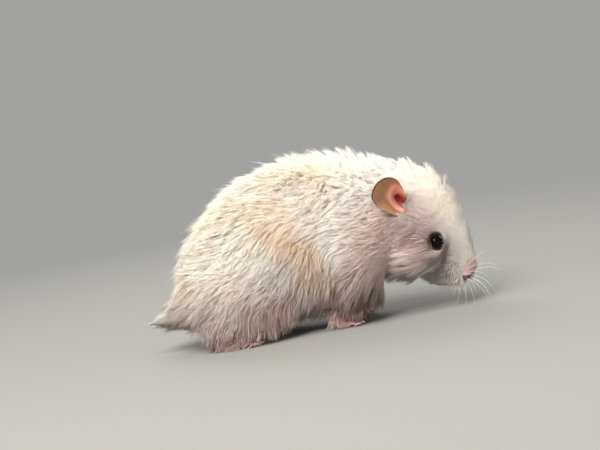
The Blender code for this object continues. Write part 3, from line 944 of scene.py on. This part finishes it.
def coat_material():
    """Each lock has its own tone and is a little darker at its root, as painted shade among the locks.
    """
    made = Finish("coat")
    lock = made.add("ShaderNodeSeparateColor")
    made.link(made.attribute("lock"), lock, "Color")
    # Painted shade: a little darker at the root, where the locks shade each other.
    along = made.ranged(lock.outputs["Red"], 0.95, 1.0)
    chance = made.ranged(lock.outputs["Green"], 0.95, 1.04)
    streak = made.ranged(made.noise(2600, 2.0), 0.95, 1.05)
    made.shaded_tint(made.product(made.product(along, chance), streak))
    made.link(made.ranged(made.noise(900, 2.0), 0.55, 0.8), made.shader, "Roughness")
    glow = {"Subsurface Weight": 0.7, "Subsurface Scale": HAIR_GLOW * MM}
    preset(made.shader, Specular_IOR_Level=0.2, Subsurface_Radius=(1.0, 0.85, 0.7), **glow)
    return made.material


def skin_material():
    """Mottled skin with fine pores."""
    made = Finish("skin")
    pores = made.noise(5200, 2.0)
    mottle = made.ranged(made.noise(420, 4.0), 0.84, 1.14)
    made.shaded_tint(made.product(mottle, made.ranged(pores, 0.93, 1.06)))
    made.link(made.ranged(pores, 0.42, 0.66), made.shader, "Roughness")
    glow = {"Subsurface Weight": 0.5, "Subsurface Scale": SKIN_GLOW * MM}
    preset(made.shader, Subsurface_Radius=(1.0, 0.6, 0.45), **glow)
    bump = made.add("ShaderNodeBump", Strength=0.35, Distance=PORE_DEPTH * MM)
    made.link(pores, bump, "Height")
    made.link(bump.outputs["Normal"], made.shader, "Normal")
    return made.material


def even_material(name, scale, detail, low, high, rough, **finish):
    """Noise that runs between two colours and two roughnesses."""
    made = Finish(name)
    noise = made.noise(scale, detail)
    made.link(made.ramp(noise, low, high), made.shader, "Base Color")
    made.link(made.ranged(noise, *rough), made.shader, "Roughness")
    preset(made.shader, **finish)
    return made.material


def eye_material():
    """Black with a trace of brown depth, under a wet clear layer."""
    black, brown = (0.0012, 0.001, 0.0012), (0.0035, 0.002, 0.002)
    wet = {"Specular_IOR_Level": 0.1, "Coat_Weight": 0.1, "Coat_Roughness": 0.03}
    return even_material("eye", 700, 3.0, black, brown, (0.05, 0.1), **wet)


def claw_material():
    return even_material("claw", 1500, 3.0, colour(214, 178, 158), colour(240, 222, 206), (0.3, 0.45))


def whisker_material():
    return even_material("whisker", 800, 2.0, colour(226, 220, 214), colour(250, 248, 246), (0.35, 0.5))


# ---------------------------------------------------------------- skin, eyes and claws as pieces


def paint(mesh, name, values):
    """Stores a colour for each point."""
    layer = mesh.attributes.new(name, "FLOAT_COLOR", "POINT")
    rows = np.ones((len(values), 4), np.float32)
    rows[:, :3] = values
    layer.data.foreach_set("color", rows.ravel())


def unwrapped(obj):
    """Unfolds the piece's own shape into a UV map named OFBake."""
    layer = obj.data.uv_layers.new(name="OFBake")
    obj.data.uv_layers.active = layer
    bpy.context.view_layer.objects.active = obj
    obj.select_set(True)
    bpy.ops.object.mode_set(mode="EDIT")
    bpy.ops.mesh.select_all(action="SELECT")
    bpy.ops.uv.smart_project(angle_limit=math.radians(66), island_margin=0.002)
    bpy.ops.object.mode_set(mode="OBJECT")
    obj.select_set(False)


def finish_piece(obj, material, nodes=()):
    obj.data.materials.clear()
    obj.data.materials.append(material)
    obj.data.shade_smooth()
    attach(obj, "root")
    if nodes:
        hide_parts(*nodes)


def make_skin(material):
    """The one skin, painted and unfolded. Returns it with the kind of part at each of its points."""
    body = skin_body()
    meshes, tint = [body.data.copy()], [skin_colour(points_of(body.data))]
    kinds = [np.full(len(tint[0]), BODY)]
    bpy.data.objects.remove(body, do_unlink=True)
    for side_name, side in SIDES.items():
        lid = lid_mesh(side_name)
        meshes.append(lid)
        tint.append(np.tile(LID_DARK, (len(lid.vertices), 1)))
        kinds.append(np.full(len(lid.vertices), LID))
        ear, flat, inner = ear_mesh(side)
        ear.transform(Matrix.Translation(Vector(EAR_BASES[side_name]) * MM))
        meshes.append(ear)
        tint.append(ear_colour(flat, inner))
        # The ear's back is bare too at its rim and at the front of its foot.
        bald = (inner > 0.5) | (length_of(flat) > 0.85)
        bald |= (flat[:, 0] > -0.05) & (flat[:, 1] < -0.1)
        kinds.append(np.where(bald, EAR_INSIDE, EAR_BACK))
    skin = joined("hamster_skin", meshes)
    paint(skin.data, "tint", np.vstack(tint))
    unwrapped(skin)
    finish_piece(skin, material, FLESH)
    return skin, np.concatenate(kinds)


def make_eyes(material):
    for side_name in SIDES:
        centre, axis, _, _ = eye_frame(side_name)
        turn = Vector(axis).to_track_quat("Z", "Y").to_matrix().to_4x4()
        mesh = ball(centre, EYE_RADIUS, turn, 64, 40)
        points = points_of(mesh) - centre
        bulge = hump(np.arccos(np.clip(unit(points) @ axis, -1, 1)), CORNEA_SPREAD)
        set_points(mesh, centre + points * (1 + CORNEA * bulge)[:, None])
        eye = add_object(f"eyeball_{side_name}", mesh)
        finish_piece(eye, material, [f"eye_{side_name}"])


def make_claws(material):
    claws = joined("claws", [tube(path, radii, 10) for path, radii in CLAWS])
    points = points_of(claws.data)
    points[:, 2] = np.maximum(points[:, 2], SOLE)
    set_points(claws.data, points)
    finish_piece(claws, material)


# ---------------------------------------------------------------- the coat

TAIL_BRUSH = (-64.0, MIDDLE_Y - TAIL_SWAY, 15.0)  # round here the hair all points one way
PATCH = 0.003  # how far a lock's patch reaches on the map
OWN_NORMAL = 0.2  # the share of a lock's own roundness in its shading
SEED = 7  # of the coat's random draws
DENSITY = 0.82  # thins the coat evenly, to stay within the triangles allowed
SWIRLS = ((15, 0.38, 21), (6, 0.26, 22))  # whorls in the coat: their size, turn in radians and seed
LONG_HAIR = 3.4  # locks longer than this have three rings and not two
LOCK_LENGTHS = (0.8, 13.0)  # the shortest and the longest, before chance changes them
ROOT_DEPTH = 0.15  # how far under the skin a lock starts
CURL_LENGTH = 9.0  # a lock of this length waves once from side to side
SAG = 0.02  # how far a lock's tip hangs, as a share of its length
STRAY_SHARE, STRAY_LENGTH = 0.025, 1.4  # locks that reach out of the coat, and by how much
OWN_SPREAD, LEADER_SPREAD = 0.14, 0.3  # how uneven the locks and the tufts are in length
CUT_SHORT = 0.08  # what is left of a lock that an ear is in the way of
EAR_FUZZ = Style(0.22, 15, 0.1, 3.2, 0.0, 0.0)
EAR_FOOT = (3, 10)  # the heights on an ear between which the fur thins out to fuzz
EAR_FOOT_DENSITY, EAR_FOOT_DEPTH = 9.0, 0.25  # what is added to the fuzz at the ear's foot
LEADER_DENSITY = 0.16  # tufts for each square mm where the coat is deepest
BRIGHT_SHARE = 0.45  # of the hairs on the whisker pad, which are white
LOCK_PROFILE = {2: (0.9, 0.85), 3: (0.8, 1.0, 0.62)}  # a lock's width at each of its rings

# Where the hair of the tail leads to and that of the face comes from, and the middle of the cheek.
TAIL_END = (-73.0, 0.0, 13.0)
FACE_START = (75.0, 0.0, 12.0)
CHEEK = (42, 15, 24)
# The ways that hair points, as (forward, outwards, up).
LEG_WAY = (-0.35, 0.0, -1.0)
CHEST_WAY = (-0.5, 0.1, -0.85)
NECK_WAY = (-1.0, 0.05, -0.12)
CHEEK_WAY = (-1.0, 0.05, 0.02)

Roots = namedtuple("Roots", "points normals uv kind")


def surface_of(skin, kinds):
    """The skin's triangles: their corners, normals, map places, areas and kinds."""
    mesh = skin.data
    mesh.calc_loop_triangles()
    corners = read(mesh.loop_triangles, "vertices", 3, np.int32)
    loops = read(mesh.loop_triangles, "loops", 3, np.int32)
    areas = read(mesh.loop_triangles, "area", 1)[:, 0]
    return (
        points_of(mesh)[corners],
        normals_of(mesh)[corners],
        read(mesh.uv_layers["OFBake"].data, "uv", 2)[loops],
        areas.astype(float) / MM**2,
        kinds[corners[:, 0]],
    )


def scatter(surface, density, rng):
    """Random roots over the surface, as many for each square mm as density says."""
    points, normals, uv, areas, kind = surface
    counts = np.floor(density * areas + rng.random(len(areas))).astype(int)
    pick = np.repeat(np.arange(len(areas)), counts)
    a, b = np.sqrt(rng.random(len(pick))), rng.random(len(pick))
    share = np.stack([1 - a, a * (1 - b), a * b], axis=1)[:, :, None]
    return Roots(
        (points[pick] * share).sum(axis=1),
        unit((normals[pick] * share).sum(axis=1)),
        (uv[pick] * share).sum(axis=1),
        kind[pick],
    )


def bareness(points):
    """1 where no fur grows: inside the lids, on the nose pad, the lips and the toes."""
    where = straight(points)
    bare = near(where, NOSE_PAD, 2.3, 3.0)
    lips = rise(where[:, 0], 47.5, 50) * hump(mouth_distance(where), 0.9 * mouth_opening(where))
    bare = np.maximum(bare, lips)
    bare = np.maximum(bare, near_line(where, CLEFT, 0.3, 0.9))
    bare = np.maximum(bare, near_line(where, MOUTH_GAP, 1.1, 1.9))
    for side_name in SIDES:
        centre, axis, _, _ = eye_frame(side_name)
        offset = points - centre
        across = length_of(offset - np.outer(offset @ axis, axis))
        close = length_of(offset) < 6
        bare = np.maximum(bare, close * (1 - rise(across, LID_RING + 0.35, LID_RING + 0.75)))
        local = ear_local(points, side_name)
        cup = (local[:, 1] * -SIDES[side_name] < 2.5) & (np.abs(local[:, 0] - 2.0) < 6.0)
        bare = np.maximum(bare, 1.0 * (cup & (np.abs(local[:, 1]) < 5) & (local[:, 2] > 1.0)))
    for kind, foot in FEET.items():
        for side_name in SIDES:
            low, high = box_mm(f"{kind}_{side_name}")
            inside = (points[:, 0] > low[0] - 1) & (points[:, 0] < high[0] + 2)
            inside &= (points[:, 1] > low[1] - 1) & (points[:, 1] < high[1] + 1)
            bare = np.maximum(bare, inside * (1 - rise(points[:, 2], foot.cuff, foot.cuff + 0.7)))
    return bare


def lie_of(points, normals, kinds):
    """The way the hair points at each root, that way laid flat on the skin, and across it."""
    where = straight(points)
    side = np.sign(points[:, 1] - spine_y(points[:, 0]))
    x, _, z = where.T
    flank = np.abs(normals[:, 1])
    ones = np.ones(len(points))

    def turned_to(way, wanted, share):
        return mix(way, np.tile(unit(np.array(wanted)), (len(points), 1)), share)

    body = np.stack([-ones, 0 * ones, -0.2 - 0.75 * flank], axis=1)
    body = mix(unit(body), unit(np.array(TAIL_END) - where), 1 - rise(x, -52, -24))
    body = turned_to(body, LEG_WAY, (1 - rise(z, 9, 24)) * rise(flank, 0.1, 0.5) * rise(x, -53, -44))
    body = turned_to(body, CHEST_WAY, rise(x, 6, 20) * (1 - rise(z, 14, 30)))
    body = turned_to(body, NECK_WAY, rise(x, 10, 22) * rise(z, 17, 27) * (1 - rise(z, 46, 58)))
    face = turned_to(unit(where - np.array(FACE_START)), CHEEK_WAY, near(where, CHEEK, 8, 20))
    way = mix(body, face, rise(x, 30, 44))
    way[:, 1] *= side
    for side_name, base in EAR_BASES.items():
        away = points - EYES[side_name]
        close = near(points, EYES[side_name], 3.8, 6.0)
        way = way + unit(away) * (close * 0.8)[:, None]
        ear = base + UP
        close = near(points, ear, 4.0, 9.0) * (points[:, 0] < ear[0] + 2)
        way = way + unit(points - ear) * (close * 0.8)[:, None]
        on_ear = (length_of(points - base) < 22) & (kinds >= EAR_INSIDE)
        way[on_ear] = unit(points[on_ear] - base)
    fan = (x - 58.0) * 0.13
    pad = near(where, WHISKER_PAD, 2.4, 4.6)
    way = unit(mix(way, np.stack([fan, 0.3 * side, -ones], axis=1), pad * 0.95))
    flat = unit(way - normals * np.sum(way * normals, axis=1)[:, None])
    return way, flat, np.cross(normals, flat)


def turned(way, across, angle):
    return way * np.cos(angle)[:, None] + across * np.sin(angle)[:, None]


def hair_paths(roots, style, count, spread, rng):
    """The middle line of each lock, as count points from its root to its tip."""
    amount = len(roots.points)
    free, way, across = lie_of(roots.points, roots.normals, roots.kind)
    outwards = rise(np.sum(free * roots.normals, axis=1), 0.45, 0.85)
    outwards = np.maximum(outwards, 0.85 * near(roots.points, TAIL_BRUSH, 3, 9))
    loose = np.clip(style.wave / 0.6, 0.12, 1.2)
    swirl = sum(turn * waves(roots.points, size, seed) for size, turn, seed in SWIRLS)
    angle = loose * (swirl + rng.normal(0, 0.16, amount))
    way, across = turned(way, across, angle), turned(across, way, -angle)
    lift = np.radians(style.lift) * (1 + 0.16 * waves(roots.points, 9, 23) + rng.normal(0, 0.1, amount))
    length = style.depth / np.sin(np.clip(np.radians(style.lift), 0.18, 1.3)) * 1.05
    length = np.clip(length, *LOCK_LENGTHS) * (1 + 0.1 * waves(roots.points, 4, 24))
    length *= np.clip(1 + rng.normal(0, spread, amount), 0.6, 1.5)
    length *= np.where(rng.random(amount) < STRAY_SHARE, STRAY_LENGTH, 1.0)
    t = np.linspace(0, 1, count)
    path = np.empty((amount, count, 3))
    path[:, 0] = roots.points - roots.normals * ROOT_DEPTH
    step = length / (count - 1)
    for k in range(1, count):
        rises = lift * (1.45 - 0.9 * t[k])
        go = way * np.cos(rises)[:, None] + roots.normals * np.sin(rises)[:, None]
        go = unit(mix(go, free, outwards))
        path[:, k] = path[:, k - 1] + go * step[:, None]
    turn = math.pi * waves(roots.points, 5, 25) + rng.normal(0, 0.5, amount)
    turns = 2 * math.pi * np.clip(length / CURL_LENGTH, 0.2, 1.3)
    for k in range(1, count):
        reach = style.wave * t[k] ** 0.8
        sideways = reach * (np.sin(turn + turns * t[k]) - np.sin(turn) * (1 - t[k]))
        upward = 0.5 * reach * np.cos(turn + turns * t[k])
        path[:, k] += across * sideways[:, None] + roots.normals * upward[:, None]
        path[:, k, 2] -= SAG * length * t[k] ** 2
    return path


def draw_together(path, leaders, roots, leader_roots, share, power):
    """Bends each lock towards the nearest leader, most at its tip."""
    tree = KDTree(len(leader_roots))
    for i, point in enumerate(leader_roots):
        tree.insert(point, i)
    tree.balance()
    nearest = np.array([tree.find(point)[1] for point in roots])
    t = np.linspace(0, 1, path.shape[1])
    weight = np.asarray(share)[:, None] * (t**power)[None, :]
    return path + (leaders[nearest] - path) * weight[:, :, None]


def clear_of_ears(path, roots):
    """The locks, with those shortened that would pass through the sheet of an ear."""
    for side_name, side in SIDES.items():
        ear, _, _ = ear_mesh(side)
        shape = bmesh_of(ear)
        tree = BVHTree.FromBMesh(shape)
        shape.free()
        bpy.data.meshes.remove(ear)
        base = EAR_BASES[side_name]
        close = length_of(roots.points - base) < EAR_HEIGHT + 8
        for i in np.flatnonzero(close):
            first = 0 if roots.kind[i] == BODY else 1
            start, end = path[i, first] - base, path[i, -1] - base
            way = Vector(end - start) * MM
            if tree.ray_cast(Vector(start) * MM, way.normalized(), way.length)[0]:
                path[i] = path[i, 0] + (path[i] - path[i, 0]) * CUT_SHORT
    return path


def lock_arrays(path, girth, uv, body_normals, rng):
    """Points, triangles, normals, map places and positions along, of closed three-sided locks."""
    amount, count, _ = path.shape
    rings = count - 1
    along = unit(np.gradient(path, axis=1))
    spin = rng.uniform(0, 2 * np.pi, amount)
    flat = unit(np.cross(along, body_normals[:, None, :]))
    over = np.cross(along, flat)
    profile = np.array(LOCK_PROFILE[rings])
    points = np.empty((amount, rings * 3 + 1, 3), np.float32)
    normals = np.empty_like(points)
    for ring in range(rings):
        for k in range(3):
            turn = 2 * np.pi * k / 3 + spin
            out = flat[:, ring] * np.cos(turn)[:, None] + over[:, ring] * (0.6 * np.sin(turn))[:, None]
            points[:, ring * 3 + k] = path[:, ring] + out * (girth * profile[ring] / 2)[:, None]
            normals[:, ring * 3 + k] = unit(out) * OWN_NORMAL + body_normals * (1 - OWN_NORMAL)
    points[:, -1] = path[:, -1]
    normals[:, -1] = body_normals * (1 - OWN_NORMAL) + along[:, -1] * OWN_NORMAL
    faces = [(0, 2, 1)]
    for ring in range(rings - 1):
        for k in range(3):
            a, b = ring * 3 + k, ring * 3 + (k + 1) % 3
            faces += [(a, b, b + 3), (a, b + 3, a + 3)]
    top = (rings - 1) * 3
    faces += [(top + k, top + (k + 1) % 3, rings * 3) for k in range(3)]
    each = rings * 3 + 1
    triangles = np.array(faces)[None] + (np.arange(amount) * each)[:, None, None]
    t = np.append(np.repeat(np.arange(rings) / rings, 3), 1.0)
    patch = np.stack([np.append(np.tile([-0.5, 0.0, 0.5], rings), 0.0), t - 0.5], axis=1) * PATCH
    places = uv[:, None, :] + patch[None]
    return points, triangles.reshape(-1, 3), unit(normals), places, np.tile(t, amount)


def coat_object(name, path, girth, roots, tint, rng, material):
    points, triangles, normals, places, along = lock_arrays(path, girth, roots.uv, roots.normals, rng)
    each = points.shape[1]
    points = points.reshape(-1, 3)
    points[:, 2] = np.maximum(points[:, 2], SOLE)
    mesh = bpy.data.meshes.new(name)
    mesh.vertices.add(len(points))
    mesh.vertices.foreach_set("co", (points * MM).astype(np.float32).ravel())
    mesh.loops.add(triangles.size)
    mesh.loops.foreach_set("vertex_index", triangles.astype(np.int32).ravel())
    mesh.polygons.add(len(triangles))
    mesh.polygons.foreach_set("loop_start", np.arange(0, triangles.size, 3, dtype=np.int32))
    mesh.update(calc_edges=True)
    layer = mesh.uv_layers.new(name="OFBake")
    layer.data.foreach_set("uv", places.reshape(-1, 2)[triangles.ravel()].astype(np.float32).ravel())
    paint(mesh, "tint", np.repeat(tint, each, axis=0))
    chance = np.repeat(rng.random(len(roots.points)), each)
    paint(mesh, "lock", np.stack([along, chance, 0 * along], axis=1))
    coat = add_object(name, mesh)
    finish_piece(coat, material)
    shading = mesh.attributes.new("custom_normal", "FLOAT_VECTOR", "POINT")
    shading.data.foreach_set("vector", normals.astype(np.float32).ravel())
    return coat


def coat_zones(points):
    """The name of the coat piece that each root belongs to."""
    side = np.where(points[:, 1] > spine_y(points[:, 0]), "left", "right")
    x, z = points[:, 0], points[:, 2]
    part = np.select(
        [x > 52, x > 40, x > 22, (x > 0) & (z > 30), x > 0, (x > -26) & (z > 34), x > -26, z > 30],
        ["face", "cheek", "neck", "shoulder", "foreleg", "back", "flank", "loin"],
        "haunch",
    )
    return np.char.add(np.char.add("coat_", part), np.char.add("_", side))


def coat_density(centres, kinds):
    """Locks for each square mm at each of the skin's triangles."""
    on_body = style_at(centres).density * (1 - bareness(centres)) * DENSITY
    ear_foot = 1 - rise(height_on_ear(centres), *EAR_FOOT)
    on_ear = EAR_FUZZ.density + EAR_FOOT_DENSITY * ear_foot
    return np.select([kinds == BODY, kinds == EAR_BACK], [on_body, on_ear], 0.0)


def make_coat(skin, kinds, material):
    """All the locks of the coat, in pieces small enough to handle."""
    rng = np.random.default_rng(SEED)
    surface = surface_of(skin, kinds)
    centres, kind = surface[0].mean(axis=1), surface[4]
    tufts = LEADER_DENSITY * np.clip(5.0 / style_at(centres).depth, 1, 6) * (kind == BODY)
    leaders = scatter(surface, tufts * (1 - bareness(centres)), rng)
    roots = scatter(surface, coat_density(centres, kind), rng)
    on_ear = roots.kind >= EAR_INSIDE
    ear_foot = 1 - rise(height_on_ear(roots.points), *EAR_FOOT)
    fuzz = EAR_FUZZ._replace(depth=EAR_FUZZ.depth + EAR_FOOT_DEPTH * ear_foot)
    style = Style(*(np.where(on_ear, a, b) for a, b in zip(fuzz, style_at(roots.points))))
    tint = coat_colour(roots.points)
    tint = mix(tint, EAR_TAN, on_ear * 0.25 * (1 - ear_foot))
    bright = rng.random(len(tint)) < BRIGHT_SHARE
    tint = mix(tint, WHITE, near(straight(roots.points), WHISKER_PAD, 3.0, 5.0) * bright)
    zones = np.where(on_ear, "coat_ear", coat_zones(roots.points))
    long_hair = style.depth / np.sin(np.radians(style.lift)) > LONG_HAIR
    for rings, chosen in ((3, long_hair), (2, ~long_hair)):
        part = Roots(*(field[chosen] for field in roots))
        part_style = Style(*(field[chosen] for field in style))
        path = hair_paths(part, part_style, rings + 1, OWN_SPREAD, rng)
        leading = hair_paths(leaders, style_at(leaders.points), rings + 1, LEADER_SPREAD, rng)
        path = draw_together(path, leading, part.points, leaders.points, part_style.clump * 0.8, 1.4)
        path = clear_of_ears(path, part)
        for zone in sorted(set(zones[chosen])):
            here = zones[chosen] == zone
            coat_object(
                f"{zone}_{'long' if rings == 3 else 'short'}",
                path[here],
                part_style.girth[here] * rng.uniform(0.75, 1.25, here.sum()),
                Roots(*(field[here] for field in part)),
                tint[chosen][here],
                rng,
                material,
            )


# ---------------------------------------------------------------- whiskers

WHISKER_ROWS = 5
WHISKER_RADIUS, BROW_RADIUS = 0.055, 0.045
BROW_ROOTS = ((55.5, 11, 37), (57.5, 10, 35.5))
WHISKER_ROOM = 8.0  # whiskers stay this near the solids' box, and 3 % of its side
WHISKER_LOWEST = 0.3


def make_whiskers(skin, material):
    """Long stiff hairs from the whisker pads, and a few over each eye."""
    rng = np.random.default_rng(SEED + 1)
    tree = BVHTree.FromObject(skin, bpy.context.evaluated_depsgraph_get())

    def root_at(place, side):
        return np.array(tree.find_nearest(Vector(placed(place, side)) * MM)[0]) / MM

    def hair(path, radius, count):
        taper = radius * (1 - 0.8 * np.linspace(0, 1, count))
        return tube(curved(path, count), taper, 6)

    meshes = []
    for side in SIDES.values():
        for row in range(WHISKER_ROWS):
            for k in range(WHISKER_ROWS):
                root = root_at((64.5 - 1.5 * k, 7.0, 10.6 + 1.5 * row - 0.25 * k), side)
                length = rng.uniform(10, 19) * (1 - 0.06 * k)
                fan = 0.9 - 0.28 * k
                drop = 0.55 - 0.42 * (row - 1) + rng.normal(0, 0.12)
                way = unit(np.array([fan, side * rng.uniform(0.55, 1.0), -drop]))
                bend = np.array([-0.12, 0, -0.16]) * length
                path = [root - way * 0.6, root + way * length * 0.5, root + way * length + bend]
                meshes.append(hair(path, WHISKER_RADIUS, 14))
        for place in BROW_ROOTS:
            root = root_at(place, side)
            way = unit(np.array([0.15, side * 0.7, 0.7]))
            path = [root - way * 0.6, root + way * 6, root + way * 11 + np.array([-2.5, 0, 0.5])]
            meshes.append(hair(path, BROW_RADIUS, 12))
    whiskers = joined("whiskers", meshes)
    points = points_of(whiskers.data)
    low, high = (np.array(corner) / MM for corner in CAD_BOX)
    room = (high - low) * 0.03 + WHISKER_ROOM
    points = np.clip(points, low - room, high + room)
    points[:, 2] = np.maximum(points[:, 2], WHISKER_LOWEST)
    set_points(whiskers.data, points)
    finish_piece(whiskers, material)


# ---------------------------------------------------------------- stage

CAMERA_TARGET = np.array([-1.6, 0.0, 43.6])
CAMERA_DISTANCE = 600.0
CAMERA_ELEVATION = 4.0  # degrees above level
CAMERA_ROLL = 10.0  # degrees, since the model stood on a slope
FIELD_WIDTH = 250.0  # what the picture's width spans at the target
FLOOR = np.array([0.27, 0.275, 0.27])
LAMP = (1.0, 0.95, 0.88)
SURROUND = np.array([0.36, 0.36, 0.35])
FLOOR_REACH = 6000.0
FADE_START, FADE_END = 0.12, 0.75  # where the floor fades into the surround, in metres
# Each lamp's place, the height it points at, its size and power, and whether the eyes mirror it.
LAMPS = {
    "key": ((-0.25, -0.62, 0.88), 0.04, 0.9, 18.0, False),
    "fill": ((0.65, -0.75, 0.3), 0.04, 0.9, 2.5, False),
    "back": ((-0.2, 0.8, 0.6), 0.05, 0.8, 8.0, False),
    "spark": ((-0.30, -0.85, 0.60), 0.04, 0.22, 5.0, True),
}


def make_camera():
    tilt, roll = math.radians(CAMERA_ELEVATION), math.radians(CAMERA_ROLL)
    forward = Vector((0, math.cos(tilt), -math.sin(tilt)))
    level, upright = Vector((1, 0, 0)), Vector((0, math.sin(tilt), math.cos(tilt)))
    right = level * math.cos(roll) - upright * math.sin(roll)
    up = level * math.sin(roll) + upright * math.cos(roll)
    data = bpy.data.cameras.new("camera")
    data.sensor_width = 36.0
    data.lens = data.sensor_width * CAMERA_DISTANCE / FIELD_WIDTH
    data.clip_start = 0.01
    camera = bpy.data.objects.new("camera", data)
    turn = Matrix((right, up, -forward)).transposed()
    place = (Vector(CAMERA_TARGET) - forward * CAMERA_DISTANCE) * MM
    camera.matrix_world = Matrix.Translation(place) @ turn.to_4x4()
    bpy.context.scene.collection.objects.link(camera)
    bpy.context.scene.camera = camera


def area_light(name, place, aim, size, power, mirrored):
    """A round soft lamp. One that isn't mirrored leaves no disc in the eyes."""
    data = bpy.data.lights.new(name, "AREA")
    data.shape = "DISK"
    data.size = size
    data.energy = power
    data.color = LAMP
    light = bpy.data.objects.new(name, data)
    light.location = place
    light.rotation_mode = "QUATERNION"
    light.rotation_quaternion = (Vector((0, 0, aim)) - Vector(place)).to_track_quat("-Z", "Y")
    light.visible_glossy = mirrored
    bpy.context.scene.collection.objects.link(light)


def make_floor():
    """A plain pale floor that fades into the surround far from the model."""
    corners = [(x * FLOOR_REACH, y * FLOOR_REACH, 0) for x, y in ((-1, -1), (1, -1), (1, 1), (-1, 1))]
    floor = add_object("floor", mesh_of("floor", corners, [(0, 1, 2, 3)]))
    made = Finish("floor")
    made.link(made.ramp(made.noise(3.0, 2.0), FLOOR * 0.97, FLOOR), made.shader, "Base Color")
    preset(made.shader, Roughness=0.9)
    distance = made.add("ShaderNodeVectorMath")
    distance.operation = "LENGTH"
    made.link(made.place(), distance, 0)
    fade = made.add("ShaderNodeMapRange", From_Min=FADE_START, From_Max=FADE_END)
    fade.interpolation_type = "SMOOTHSTEP"
    made.link(distance.outputs["Value"], fade, "Value")
    glow = made.add("ShaderNodeEmission", Color=(*SURROUND, 1))
    blend = made.add("ShaderNodeMixShader")
    made.link(fade.outputs["Result"], blend, "Fac")
    made.link(made.shader.outputs["BSDF"], blend, 1)
    made.link(glow.outputs["Emission"], blend, 2)
    made.link(blend.outputs["Shader"], made.tree.nodes["Material Output"], "Surface")
    floor.data.materials.append(made.material)


def make_stage():
    """The floor, a pale surround and soft lamps."""
    make_floor()
    for name, lamp in LAMPS.items():
        area_light(name, *lamp)
    world = bpy.data.worlds.new("studio")
    world.use_nodes = True
    world.node_tree.nodes["Background"].inputs["Color"].default_value = (*SURROUND, 1)
    bpy.context.scene.world = world
    bpy.context.scene.view_settings.view_transform = "Standard"


# ---------------------------------------------------------------- everything together


def main():
    skin, kinds = make_skin(skin_material())
    make_coat(skin, kinds, coat_material())
    make_whiskers(skin, whisker_material())
    make_eyes(eye_material())
    make_claws(claw_material())
    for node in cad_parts.values():
        node.data.materials.clear()
        node.data.materials.append(skin.data.materials[0])
    make_camera()
    make_stage()


main()
